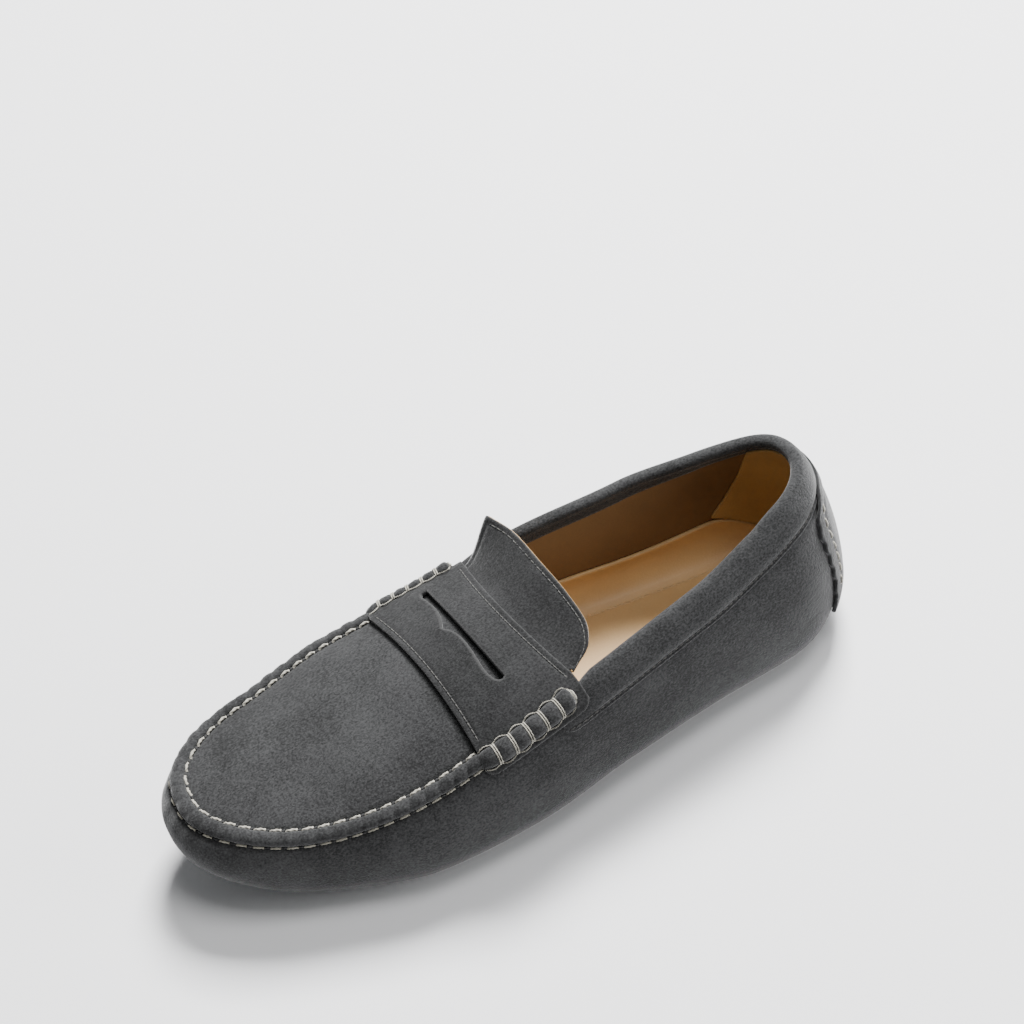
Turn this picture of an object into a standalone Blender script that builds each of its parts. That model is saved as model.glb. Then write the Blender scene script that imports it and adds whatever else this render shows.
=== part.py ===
"""Driving moccasin, left shoe: its suede upper, saddle strap, collar, heel tab, sole and sock.

The shoe stands on the floor plane, heel at +Y, toe at -Y and its outer (lateral) side at +X.
A station is an angle round the shoe: 0 at the heel's back, then the lateral side, half a turn
at the toe, and the medial side on the way back. Every piece takes its place from the same
outline and wall functions.
"""
import functools
import math

import bmesh
import bpy
import numpy as np

# Driving sizes, in metres.
SHOE_LENGTH = 0.270
BALL_WIDTH = 0.0958
HEEL_HEIGHT = 0.0760
TOE_SPRING = 0.0134
CROWN = 0.0080
TURN_HEIGHT = 0.0151
TURN_REACH = 0.0141
FLANGE = 0.0030
WALL = 0.0022
GAP = 0.0003
TAB_GAP = 0.0005
STRAP_CLEAR = 0.0008

SEAM_RISE = 0.0020
SEAM_REACH = 0.0042
SEAM_TOP_REACH = 0.0034
SEAM_START = 0.016
BINDING_WALL = 0.0013
BINDING_DEPTH = 0.0135
BINDING_INSIDE = 0.0060
STRAP_WALL = 0.0015
STRAP_DROP = 0.0078
SLOT_LENGTH = 0.0560
SLOT_DEPTH = 0.0064
STRAP_BEND = 0.0044
ROLL_RISE = 0.0030
ROLL_OUTSIDE = 0.0058
ROLL_INSIDE = 0.0012
ROLL_BULGES = 6
ROLL_REAR = 0.89
TAB_WALL = 0.0016
TAB_TOP = 0.0080
TAB_STEP = 0.0036
TONGUE_WALL = 0.0018
TONGUE_CLEAR = 0.0012
SOCK_WALL = 0.0020
SOLE_STEP = 0.0012
STUD_RADIUS = 0.0042
STUD_HEIGHT = 0.0022
STUD_SIDES = 8

# Ends of the outline: how far each round end reaches, and how square it is.
HEEL_ROUND = 0.14
HEEL_POWER = 2.08
TOE_ROUND = 0.34
TOE_POWER = 2.27

# One row a section, heel to toe. at is the share of the length. half, middle, lean_out and
# lean_in are shares of the ball width: half the outline, its middle, and how far the wall's
# top stands in from the outline on the lateral and the medial side. top and tilt are shares
# of the heel height: the wall's top, and what the lateral side adds and the medial loses.
# bottom is a share of the toe spring. curl is how far round the wall bends, and crown is
# the share of the apron's rise.
SECTION_COLUMNS = ("at", "half", "middle", "top", "tilt", "lean_out", "lean_in", "bottom", "curl", "crown")
SECTIONS = np.array((
    (0.00, 0.336, -0.046, 1.000, 0.000, 0.129, 0.081, 0.43, 0.55, 0.70),
    (0.10, 0.357, -0.010, 0.928, 0.022, 0.180, 0.070, 0.27, 0.55, 0.75),
    (0.25, 0.394, -0.001, 0.826, 0.026, 0.124, -0.010, 0.39, 0.55, 0.80),
    (0.40, 0.447, 0.008, 0.771, 0.017, 0.118, -0.004, 0.45, 0.67, 0.90),
    (0.55, 0.482, 0.034, 0.686, 0.003, 0.129, 0.026, 0.32, 0.80, 1.00),
    (0.70, 0.499, 0.012, 0.576, -0.012, 0.127, 0.028, 0.24, 0.82, 0.95),
    (0.85, 0.460, -0.032, 0.517, -0.013, 0.091, 0.031, 0.30, 0.84, 0.70),
    (1.00, 0.467, -0.088, 0.520, 0.000, 0.122, 0.077, 1.00, 0.85, 0.00),
))

# Where the strap crosses the wall's top, as shares of the length, and how its edges bow.
STRAP_FRONT_OUT = 0.603
STRAP_REAR_OUT = 0.438
STRAP_FRONT_IN = 0.630
STRAP_REAR_IN = 0.487
STRAP_FRONT_BOW = 0.0015
STRAP_REAR_BOW = -0.0035
THROAT_SHARE = 0.53

# The tongue's rim, medial to lateral: across and along are shares of the ball width and of the
# length from the shoe's middle, rise is a share of the heel height.
TONGUE_RIM = np.array((
    (-0.465, 0.062, 0.872),
    (-0.320, 0.081, 0.908),
    (-0.110, 0.090, 0.924),
    (0.045, 0.098, 0.902),
    (0.155, 0.101, 0.862),
    (0.232, 0.093, 0.825),
    (0.293, 0.064, 0.791),
))
TONGUE_SHARE = 0.85

# The slot's front edge, medial to lateral: share of its length, and share of its depth.
SLOT_FRONT = (
    (0.00, 0.42),
    (0.07, 0.56),
    (0.18, 0.48),
    (0.28, 0.52),
    (0.36, 0.74),
    (0.42, 1.00),
    (0.46, 0.78),
    (0.54, 0.56),
    (0.63, 0.52),
    (0.74, 0.64),
    (0.84, 0.76),
    (0.93, 0.66),
    (1.00, 0.28),
)
SLOT_SEAT = 0.59

# The heel tab, top to bottom: share of its depth, and half its width as a share of the heel's.
TAB_ROWS = np.array((
    (0.00, 0.30),
    (0.04, 0.46),
    (0.12, 0.74),
    (0.28, 0.91),
    (0.48, 0.93),
    (0.67, 0.94),
    (0.85, 1.00),
    (1.00, 1.14),
))
TAB_END = 0.27

# Rows of studs: share of the length, how many across, half their spread as a share of the
# sole's half width there, and whether their ends stand on the floor.
STUD_ROWS = (
    (0.105, 3, 0.45, True),
    (0.155, 4, 0.62, True),
    (0.205, 3, 0.50, True),
    (0.300, 2, 0.34, False),
    (0.395, 2, 0.34, False),
    (0.490, 3, 0.50, False),
    (0.555, 4, 0.60, False),
    (0.620, 5, 0.68, True),
    (0.685, 5, 0.70, True),
    (0.750, 5, 0.70, True),
    (0.815, 4, 0.62, False),
    (0.875, 3, 0.48, False),
)

STATIONS = 84
TOE = STATIONS // 2
APRON_COLUMNS = 8
PHI_STEP = 0.02
DEPTH_STEP = 0.0008
PROFILE_STEPS = 61

SUEDE = ("suede", (0.098, 0.100, 0.107, 1.0), 0.95)
SUEDE_DARK = ("suede_trim", (0.080, 0.082, 0.088, 1.0), 0.95)
RUBBER = ("rubber", (0.035, 0.035, 0.037, 1.0), 0.75)
LEATHER = ("sock_leather", (0.62, 0.42, 0.22, 1.0), 0.55)


def smooth_curve(xs, ys, at):
    """Cubic through the rows which never swings past them."""
    width = np.diff(xs)
    slope = np.diff(ys) / width
    turn = np.zeros(len(xs))
    before = slope[:-1]
    after = slope[1:]
    total = np.where(before + after == 0, 1.0, before + after)
    turn[1:-1] = np.where(before * after > 0, 2 * before * after / total, 0.0)
    turn[0] = slope[0]
    turn[-1] = slope[-1]
    row = np.clip(np.searchsorted(xs, at, side="right") - 1, 0, len(xs) - 2)
    t = (at - xs[row]) / width[row]
    return (ys[row] * (1 + 2 * t) * (1 - t) ** 2 + ys[row + 1] * t * t * (3 - 2 * t)
            + width[row] * t * (1 - t) * (turn[row] * (1 - t) - turn[row + 1] * t))


def section(name, at):
    """A column of the section table at any share of the length."""
    return smooth_curve(SECTIONS[:, 0], SECTIONS[:, SECTION_COLUMNS.index(name)], at)


def ease(x):
    """Smooth step from 0 to 1."""
    x = np.clip(x, 0.0, 1.0)
    return x * x * (3 - 2 * x)


def unit(v):
    """Vectors of length one."""
    return v / np.linalg.norm(v, axis=-1, keepdims=True)


def station_of(share, side):
    """The station's angle at a share of the length, on side +1 (lateral) or -1 (medial)."""
    return side * math.acos(1 - 2 * share)


def share_of(phi):
    """Share of the length at a station."""
    return (1 - np.cos(phi)) / 2


def outline(phi):
    """The widest outline, seen from above."""
    s = share_of(phi)
    side = np.where(np.sin(phi) >= 0, 1.0, -1.0)
    heel = np.clip((HEEL_ROUND - s) / HEEL_ROUND, 0, 1)
    toe = np.clip((s - 1 + TOE_ROUND) / TOE_ROUND, 0, 1)
    ends = np.maximum(0, 1 - heel ** HEEL_POWER) ** (1 / HEEL_POWER)
    ends = ends * np.maximum(0, 1 - toe ** TOE_POWER) ** (1 / TOE_POWER)
    x = BALL_WIDTH * (section("middle", s) + side * section("half", s) * ends)
    return np.stack([x, SHOE_LENGTH * (0.5 - s)], -1)


def inward(phi):
    """Direction from the outline into the shoe, seen from above."""
    run = unit(outline(phi + PHI_STEP) - outline(phi - PHI_STEP))
    return np.stack([run[..., 1], -run[..., 0]], -1)


def lean(phi):
    """How far the wall's top stands in from the outline; both sides agree at heel and toe."""
    s = share_of(phi)
    out = section("lean_out", s)
    inn = section("lean_in", s)
    ends = np.clip(np.exp(-s / 0.04) + np.exp(-(1 - s) / 0.04), 0, 1)
    own = np.where(np.sin(phi) >= 0, out, inn)
    return BALL_WIDTH * (own * (1 - ends) + (out + inn) / 2 * ends)


def floor_line(y):
    """Underside of the suede along the shoe, level from side to side."""
    reach = SHOE_LENGTH / 2 - TURN_REACH
    return TOE_SPRING * section("bottom", np.clip((reach - y) / (2 * reach), 0, 1))


def bottom_height(phi):
    """Underside of the suede where the wall has turned under."""
    turned = outline(phi) + inward(phi) * TURN_REACH
    return floor_line(turned[..., 1])


def crest_height(phi):
    """The wall's top; under the collar binding it is lower by the binding."""
    s = share_of(phi)
    side = np.where(np.sin(phi) >= 0, 1.0, -1.0)
    under_binding = ease((THROAT_SHARE - s) / (THROAT_SHARE - STRAP_REAR_OUT))
    top = HEEL_HEIGHT * (section("top", s) + side * section("tilt", s))
    return top - (GAP + BINDING_WALL) * under_binding


def wall_profile(phi, t):
    """Point of the outer wall: t is 1 at its top, 0 where it is widest, -1 where it turned under."""
    bottom = bottom_height(phi)
    wide = bottom + TURN_HEIGHT
    curl = section("curl", share_of(phi)) * math.pi / 2
    up = np.maximum(t, 0)
    down = np.maximum(-t, 0) * math.pi / 2
    inset = lean(phi) * (1 - np.cos(curl * up)) / (1 - np.cos(curl)) + TURN_REACH * (1 - np.cos(down))
    z = wide + (crest_height(phi) - wide) * np.sin(curl * up) / np.sin(curl) - TURN_HEIGHT * np.sin(down)
    plan = outline(phi) + inward(phi) * inset[..., None]
    return np.concatenate([plan, z[..., None]], -1)


@functools.lru_cache(maxsize=None)
def wall_depths(phi):
    """Depth below the top, along the wall, at even steps of its profile."""
    t = np.linspace(1, -1, PROFILE_STEPS)
    line = wall_profile(np.full(PROFILE_STEPS, float(phi)), t)
    steps = np.linalg.norm(np.diff(line, axis=0), axis=1)
    return t, np.concatenate([[0.0], np.cumsum(steps)])


def wall_point(phi, depth):
    """Point of the outer wall at a depth below its top."""
    t, depths = wall_depths(float(phi))
    return wall_profile(np.array([float(phi)]), np.array([np.interp(depth, depths, t)]))[0]


def wall_at(phi, depth):
    """Point of the outer wall and the direction out of it."""
    upper = max(depth - DEPTH_STEP, 0.0)
    down = wall_point(phi, upper + 2 * DEPTH_STEP) - wall_point(phi, upper)
    along = wall_point(phi + PHI_STEP, depth) - wall_point(phi - PHI_STEP, depth)
    return wall_point(phi, depth), unit(np.cross(along, down))


CREST_PHI = np.linspace(0.0, math.pi, 181)
CREST = {side: wall_profile(side * CREST_PHI, np.ones(len(CREST_PHI))) for side in (1, -1)}


def apron_point(x, y):
    """Point of the apron that spans the wall's top, seen from above at x, y."""
    ends = {}
    for side, line in CREST.items():
        ends[side] = [np.interp(-y, -line[:, 1], line[:, axis]) for axis in (0, 2)]
    crown = CROWN * np.interp(-y, -CREST[1][:, 1], section("crown", share_of(CREST_PHI)))
    half = max((ends[1][0] - ends[-1][0]) / 2, GAP)
    u = (x - (ends[1][0] + ends[-1][0]) / 2) / half
    z = (ends[1][1] * (1 + u) + ends[-1][1] * (1 - u)) / 2 + crown * (1 - min(u * u, 1.0))
    return np.array([x, y, z])


def apron_at(x, y):
    """Point of the apron and the direction up out of it."""
    step = DEPTH_STEP
    across = apron_point(x + step, y) - apron_point(x - step, y)
    along = apron_point(x, y + step) - apron_point(x, y - step)
    return apron_point(x, y), unit(np.cross(across, along))


def crest_turn(phi, run):
    """The angle that moves a station by a length along the wall's top."""
    span = np.linalg.norm(wall_point(phi + PHI_STEP, 0.0) - wall_point(phi - PHI_STEP, 0.0))
    return run * 2 * PHI_STEP / float(span)


def over_crest(phi, reach):
    """Across the wall's top: reach is below 0 down the wall and above 0 onto the apron."""
    if reach < 0:
        return wall_at(phi, -reach)
    crest = wall_point(phi, 0.0)
    step_in = inward(np.array([phi]))[0]
    plan = crest[:2] + step_in * max(reach, SEAM_TOP_REACH / 2)
    if reach > 0:
        return apron_at(*(crest[:2] + step_in * reach))
    return crest, unit(apron_at(*plan)[1] + wall_at(phi, SEAM_REACH / 2)[1])


def material(look):
    """The named material, made once."""
    name, color, roughness = look
    if name in bpy.data.materials:
        return bpy.data.materials[name]
    made = bpy.data.materials.new(name)
    made.use_nodes = True
    shader = made.node_tree.nodes["Principled BSDF"]
    shader.inputs["Base Color"].default_value = color
    shader.inputs["Roughness"].default_value = roughness
    shader.inputs["Metallic"].default_value = 0.0
    return made


def add_object(name, points, faces, look):
    """An object with its faces turned outwards and shaded smooth."""
    mesh = bpy.data.meshes.new(name)
    mesh.from_pydata([tuple(float(c) for c in p) for p in points], [], faces)
    form = bmesh.new()
    form.from_mesh(mesh)
    bmesh.ops.recalc_face_normals(form, faces=form.faces)
    form.to_mesh(mesh)
    form.free()
    mesh.shade_smooth()
    mesh.set_sharp_from_angle(angle=math.radians(50))
    mesh.materials.append(material(look))
    made = bpy.data.objects.new(name, mesh)
    bpy.context.scene.collection.objects.link(made)
    return made


def add_shell(name, outer, inner, faces, look):
    """A closed solid from an open sheet, its copy on the other face, and a rim between them."""
    count = len(outer)
    edges = {}
    for face in faces:
        for a, b in zip(face, face[1:] + face[:1]):
            edges[(a, b)] = True
    rim = [(b, a, a + count, b + count) for a, b in edges if (b, a) not in edges]
    back = [tuple(i + count for i in reversed(face)) for face in faces]
    return add_object(name, list(outer) + list(inner), faces + back + rim, look)


def weave(rows, start=None, end=None):
    """Faces between rows of point numbers, with a fan to a single point at either end."""
    faces = []
    for here, there in zip(rows, rows[1:]):
        for j in range(len(here) - 1):
            faces.append((here[j], here[j + 1], there[j + 1], there[j]))
    if start is not None:
        faces += [(start, b, a) for b, a in zip(rows[0][1:], rows[0])]
    if end is not None:
        faces += [(end, a, b) for a, b in zip(rows[-1], rows[-1][1:])]
    return faces


def add_sheet(name, grid, low, high, look):
    """A shell from a grid of (point, direction) pairs, between two lifts along the direction."""
    columns = len(grid[0])
    outer = []
    inner = []
    for r, row in enumerate(grid):
        for c, (point, out) in enumerate(row):
            top = high[r][c] if isinstance(high, list) else high
            under = low[r][c] if isinstance(low, list) else low
            outer.append(point + out * top)
            inner.append(point + out * under)
    rows = [tuple(range(r * columns, (r + 1) * columns)) for r in range(len(grid))]
    return add_shell(name, outer, inner, weave(rows), look)


def station_angle(k):
    """Angle of a numbered station, from 0 to half a turn and back from minus half a turn."""
    turn = 2 * math.pi * k / STATIONS
    return turn if k <= TOE else turn - 2 * math.pi


THROAT = round(math.acos(1 - 2 * THROAT_SHARE) * STATIONS / (2 * math.pi))


def seam_height(phi):
    """The raised seam is whole in front of the strap and ends where the strap begins."""
    s = share_of(phi)
    front = STRAP_FRONT_OUT if math.sin(phi) >= 0 else STRAP_FRONT_IN
    return SEAM_RISE * float(ease((s - front - SEAM_START) / SEAM_START))


def build_upper():
    """One hollow shell: the wall, its turned-under edge, the raised seam and the apron."""
    outer = []
    inner = []

    def add(point, out, lift, wall=WALL):
        outer.append(point + out * lift)
        inner.append(point - out * wall)
        return len(outer) - 1

    wall_rows = []
    for k in range(STATIONS):
        phi = station_angle(k)
        seam = seam_height(phi)
        t, depths = wall_depths(phi)
        widest = float(np.interp(0.0, -t, depths))
        levels = [SEAM_REACH + (widest - SEAM_REACH) * f for f in (0.20, 0.45, 0.72, 1.0)]
        levels += [widest + (depths[-1] - widest) * f for f in (0.33, 0.66)]
        if THROAT <= k <= STATIONS - THROAT:
            crest, out = over_crest(phi, 0.0)
            ids = [add(crest, out, seam, WALL * 1.3)]
        else:
            ids = [add(*wall_at(phi, 0.0), 0.0)]
        ids.append(add(*wall_at(phi, SEAM_REACH / 2), seam * 0.85))
        ids.append(add(*wall_at(phi, SEAM_REACH), seam * 0.1))
        ids += [add(*wall_at(phi, depth), 0.0) for depth in levels]
        under = np.array([0.0, 0.0, -1.0])
        turned = wall_point(phi, depths[-1])
        ids.append(add(turned, under, 0.0))
        plan = turned[:2] + inward(np.array([phi]))[0] * FLANGE
        ids.append(add(np.array([*plan, float(floor_line(plan[1]))]), under, 0.0))
        wall_rows.append(tuple(ids))
    faces = weave(wall_rows + wall_rows[:1])

    apron_rows = {}
    for k in range(THROAT, STATIONS - THROAT + 1):
        phi = station_angle(k)
        seam = seam_height(phi)
        near = add(*over_crest(phi, SEAM_TOP_REACH / 2), seam * 0.7)
        far = add(*over_crest(phi, SEAM_TOP_REACH), 0.0)
        apron_rows[k] = (wall_rows[k][0], near, far)
    faces += weave([apron_rows[k] for k in sorted(apron_rows, reverse=True)])

    cross_rows = []
    for k in range(THROAT, TOE):
        left = apron_rows[k][2]
        right = apron_rows[STATIONS - k][2]
        row = [left]
        for j in range(1, APRON_COLUMNS):
            plan = outer[left][:2] + (outer[right] - outer[left])[:2] * j / APRON_COLUMNS
            row.append(add(*apron_at(*plan), 0.0))
        row.append(right)
        cross_rows.append(tuple(reversed(row)))
    faces += weave(cross_rows, end=apron_rows[TOE][2])
    return add_shell("upper", outer, inner, faces, SUEDE)


def build_binding():
    """The folded collar band, over the wall's top from the strap round the heel to the strap."""
    first = station_of(STRAP_REAR_IN, -1)
    first += crest_turn(first, STRAP_CLEAR)
    last = station_of(STRAP_REAR_OUT, 1)
    last -= crest_turn(last, STRAP_CLEAR)
    spare = math.pi / STATIONS
    angles = [first]
    angles += [a for a in sorted(map(station_angle, range(STATIONS))) if first + spare < a < last - spare]
    angles.append(last)
    outside = (BINDING_DEPTH, 0.7 * BINDING_DEPTH, 0.38 * BINDING_DEPTH, 0.1 * BINDING_DEPTH)
    inside = (0.2 * BINDING_INSIDE, BINDING_INSIDE)
    grid = []
    for phi in angles:
        row = [wall_at(phi, depth) for depth in outside]
        crest, out = wall_at(phi, 0.0)
        up = unit(crest - wall_point(phi, 2 * DEPTH_STEP))
        row.append((crest, out * 0.8 + up))
        row.append((crest - out * WALL, up - out * 0.8))
        for depth in inside:
            point, face = wall_at(phi, depth)
            row.append((point - face * WALL, -face))
        grid.append(row)
    return add_sheet("collar_binding", grid, GAP, GAP + BINDING_WALL, SUEDE)


def build_heel_tab():
    """The stitched patch down the heel's back, over the collar band's lower edge."""
    probe = np.linspace(0, math.pi / 2, 158)
    plan = outline(probe)
    reach = np.concatenate([[0.0], np.cumsum(np.linalg.norm(np.diff(plan, axis=0), axis=1))])
    heel_half = BALL_WIDTH * SECTIONS[0][1]
    t, depths = wall_depths(0.0)
    tab_depth = float(np.interp(TAB_END, -t, depths)) - TAB_TOP
    over_band = GAP + BINDING_WALL + TAB_GAP
    band_end = BINDING_DEPTH - TAB_TOP + 2 * GAP
    levels = [0.0, band_end / 2, band_end, band_end + TAB_STEP]
    levels += [tab_depth * f for f in (0.28, 0.40, 0.52, 0.64, 0.75, 0.84, 0.92, 1.0)]
    grid = []
    low = []
    for level in levels:
        width = heel_half * float(smooth_curve(TAB_ROWS[:, 0], TAB_ROWS[:, 1], level / tab_depth))
        row = []
        for j in np.linspace(-1, 1, 17):
            phi = math.copysign(float(np.interp(abs(j) * width, reach, probe)), j)
            row.append(wall_at(phi, TAB_TOP + level))
        grid.append(row)
        past_band = ease((level - band_end) / TAB_STEP)
        low.append([over_band - (over_band - TAB_GAP) * float(past_band)] * len(row))
    high = [[lift + TAB_WALL for lift in row] for row in low]
    return add_sheet("heel_tab", grid, low, high, SUEDE_DARK)


def strap_angles(v):
    """Stations of the strap's two ends: v is 0 at its front edge and 1 at its rear edge."""
    out = STRAP_FRONT_OUT + (STRAP_REAR_OUT - STRAP_FRONT_OUT) * v
    inn = STRAP_FRONT_IN + (STRAP_REAR_IN - STRAP_FRONT_IN) * v
    return station_of(out, 1), station_of(inn, -1)


def strap_row(v):
    """Points across the strap, from its lateral end over the apron to its medial end."""
    crest_reach = (-0.9 * STRAP_DROP, -0.6 * STRAP_DROP, -0.25 * STRAP_DROP, 0.0, 0.35 * STRAP_BEND)
    corner = 0.5 + (v - 0.5) * 0.88
    rows = {}
    for side in (1, -1):
        phi = strap_angles(v)[0 if side == 1 else 1]
        tip = strap_angles(corner)[0 if side == 1 else 1]
        rows[side] = [wall_at(tip, STRAP_DROP)] + [over_crest(phi, reach) for reach in crest_reach]
    start = over_crest(strap_angles(v)[0], STRAP_BEND)[0]
    end = over_crest(strap_angles(v)[1], STRAP_BEND)[0]
    bow = STRAP_FRONT_BOW + (STRAP_REAR_BOW - STRAP_FRONT_BOW) * v
    middle = []
    for f in np.linspace(0, 1, 13):
        plan = start[:2] + (end - start)[:2] * f
        middle.append(apron_at(plan[0], plan[1] + bow * 4 * f * (1 - f)))
    return rows[1] + middle + rows[-1][::-1]


def build_strap():
    """The saddle strap with its slot; its ends hang a little down the wall."""
    strap = add_sheet("saddle_strap", [strap_row(v) for v in np.linspace(0, 1, 6)],
                      GAP, GAP + STRAP_WALL, SUEDE)
    seat = strap_row(SLOT_SEAT)
    middle = seat[len(seat) // 2 + 1][0]
    run = unit((seat[len(seat) // 2 - 3][0] - middle)[:2])
    back = np.array([-run[1], run[0]])
    outline_points = [(1.0, 0.0), (0.0, 0.0)]
    outline_points += [(across, -depth) for across, depth in SLOT_FRONT]
    points = []
    for lift in (-4 * STRAP_WALL, 4 * STRAP_WALL):
        for across, depth in outline_points:
            plan = middle[:2] + run * (across - 0.5) * SLOT_LENGTH + back * depth * SLOT_DEPTH
            points.append(np.array([*plan, apron_point(*plan)[2] + lift]))
    count = len(outline_points)
    faces = [tuple(range(count)), tuple(reversed(range(count, 2 * count)))]
    faces += [(i, (i + 1) % count, (i + 1) % count + count, i + count) for i in range(count)]
    cutter = add_object("slot_cutter", points, faces, SUEDE)
    cutter.hide_render = True
    cutter.display_type = "WIRE"
    cut = strap.modifiers.new("slot", "BOOLEAN")
    cut.operation = "DIFFERENCE"
    cut.solver = "EXACT"
    cut.object = cutter
    return strap


def build_roll(name, side):
    """The gathered roll sewn along the strap's end, a bulge between each wrap of thread."""
    start = strap_angles(ROLL_REAR)[0 if side == 1 else 1]
    end = strap_angles(0.015)[0 if side == 1 else 1]
    over_strap = GAP + STRAP_WALL + GAP
    reaches = (-ROLL_OUTSIDE, -0.6 * STRAP_DROP, -0.42 * STRAP_DROP, -0.25 * STRAP_DROP, 0.0, ROLL_INSIDE)
    fullness = (0.12, 0.64, 0.96, 1.0, 0.66, 0.12)
    per_bulge = 3
    grid = []
    high = []
    for i in range(ROLL_BULGES * per_bulge + 1):
        f = i / (ROLL_BULGES * per_bulge)
        swell = math.sin(math.pi * (i % per_bulge) / per_bulge)
        at_end = min(1.0, 6 * f + 0.35, 6 * (1 - f) + 0.35)
        phi = start + (end - start) * f
        grid.append([over_crest(phi, reach) for reach in reaches])
        rise = ROLL_RISE * (0.55 + 0.45 * swell) * at_end
        high.append([over_strap + rise * full for full in fullness])
    low = [[over_strap] * len(reaches) for _ in grid]
    return add_sheet(name, grid, low, high, SUEDE)


def tongue_base(u, y):
    """A point of the tongue where it lies level with the apron: u is -1 medial to 1 lateral."""
    lateral = np.interp(-y, -CREST[1][:, 1], CREST[1][:, 0])
    medial = np.interp(-y, -CREST[-1][:, 1], CREST[-1][:, 0])
    x = (lateral + medial) / 2 + TONGUE_SHARE * u * (lateral - medial) / 2
    return apron_point(x, y)


def build_tongue():
    """The tongue: level with the apron under the strap, then up and back to its free rim."""
    throat = [wall_point(side * station_angle(THROAT), 0.0)[1] for side in (1, -1)]
    lateral_rear = SHOE_LENGTH * (0.5 - STRAP_REAR_OUT)
    medial_rear = SHOE_LENGTH * (0.5 - STRAP_REAR_IN)
    across = np.linspace(-1, 1, len(TONGUE_RIM))
    columns = []
    for u in np.linspace(-1, 1, 13):
        rear = (lateral_rear * (1 + u) + medial_rear * (1 - u)) / 2 + STRAP_REAR_BOW * (1 - u * u)
        front = (throat[0] * (1 + u) + throat[1] * (1 - u)) / 2 + TONGUE_CLEAR
        column = [tongue_base(u, front + (rear - front) * f) for f in (0.0, 0.5, 1.0)]
        rim = np.array([smooth_curve(across, TONGUE_RIM[:, axis], u) for axis in range(3)])
        rim = rim * np.array([BALL_WIDTH, SHOE_LENGTH, HEEL_HEIGHT])
        run = float(np.linalg.norm(rim - column[-1]))
        leave = unit(column[-1] - column[-2]) * run * 0.8
        arrive = (rim - column[-1]) * 1.1
        for f in (0.22, 0.45, 0.72, 1.0):
            g = 1 - f
            column.append(column[2] * (1 + 2 * f) * g * g + rim * f * f * (3 - 2 * f)
                          + leave * f * g * g - arrive * f * f * g)
        columns.append(column)
    points = np.array(columns)
    along = np.gradient(points, axis=1)
    over = np.gradient(points, axis=0)
    out = unit(np.cross(over, along))
    grid = [list(zip(points[c], out[c])) for c in range(len(points))]
    return add_sheet("tongue", grid, -TONGUE_WALL, 0.0, SUEDE)


def plate(name, inset_top, inset_low, lift_top, lift_low, look):
    """A thin plate that follows the shoe's bottom line."""
    outer = []
    inner = []
    step = 2

    def ring_plan(k, inset):
        phi = np.array([station_angle(k % STATIONS)])
        return outline(phi)[0] + inward(phi)[0] * inset

    def add(k, f):
        for store, inset, lift in ((outer, inset_top, lift_top), (inner, inset_low, lift_low)):
            start = ring_plan(k, inset)
            plan = start + (ring_plan(STATIONS - k, inset) - start) * f
            store.append(np.array([*plan, float(floor_line(plan[1])) + lift]))
        return len(outer) - 1

    heel = add(0, 0.0)
    rows = [tuple(add(k, f) for f in np.linspace(0, 1, 5)) for k in range(step, TOE, step)]
    toe = add(TOE, 0.0)
    return add_shell(name, outer, inner, weave(rows, start=heel, end=toe), look)


def build_insole():
    """The sock over the turned-under edge and the sole plate."""
    reach_low = TURN_REACH
    reach_top = 0.68 * TURN_REACH
    lift = WALL + GAP
    return plate("insole", reach_top, reach_low, lift + SOCK_WALL, lift, LEATHER)


def stud_places():
    """Centre, foot and top of every stud."""
    places = []
    for share, count, spread, stands in STUD_ROWS:
        half = BALL_WIDTH * float(section("half", share)) - TURN_REACH - FLANGE
        middle = BALL_WIDTH * float(section("middle", share))
        y = SHOE_LENGTH * (0.5 - share)
        for f in np.linspace(-1, 1, count):
            under = float(floor_line(y)) - SOLE_STEP
            foot = 0.0 if stands else under - STUD_HEIGHT
            places.append((middle + f * spread * half, y, foot, under))
    return places


def build_sole():
    """The rubber plate in the suede's opening, a step proud of it, with its studs."""
    reach = TURN_REACH + FLANGE + GAP
    sole = plate("sole", reach, reach, WALL, -SOLE_STEP, RUBBER)
    points = []
    faces = []
    for x, y, foot, under in stud_places():
        base = len(points)
        rings = ((1.0, under + SOLE_STEP), (0.97, foot + 0.45 * (under - foot)), (0.70, foot))
        for radius, z in rings:
            for i in range(STUD_SIDES):
                turn = 2 * math.pi * (i + 0.5) / STUD_SIDES
                points.append((x + STUD_RADIUS * radius * math.cos(turn),
                               y + STUD_RADIUS * radius * math.sin(turn), z))
        for ring in range(len(rings) - 1):
            for i in range(STUD_SIDES):
                j = (i + 1) % STUD_SIDES
                low = base + ring * STUD_SIDES
                faces.append((low + i, low + j, low + j + STUD_SIDES, low + i + STUD_SIDES))
        faces.append(tuple(range(base, base + STUD_SIDES)))
        faces.append(tuple(range(base + 2 * STUD_SIDES, base + 3 * STUD_SIDES)))
    studs = add_object("studs", points, faces, RUBBER)
    studs.hide_render = True
    studs.display_type = "WIRE"
    join = sole.modifiers.new("studs", "BOOLEAN")
    join.operation = "UNION"
    join.solver = "EXACT"
    join.use_self = True
    join.object = studs
    return sole


def centre_plan():
    """Moves every mesh so that the middle of the shoe's plan stands on the origin."""
    shown = [o for o in bpy.data.objects if not o.hide_render]
    points = np.array([v.co for o in shown for v in o.data.vertices])
    middle = (points.min(axis=0) + points.max(axis=0)) / 2
    for made in bpy.data.objects:
        for vertex in made.data.vertices:
            vertex.co.x -= middle[0]
            vertex.co.y -= middle[1]


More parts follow.
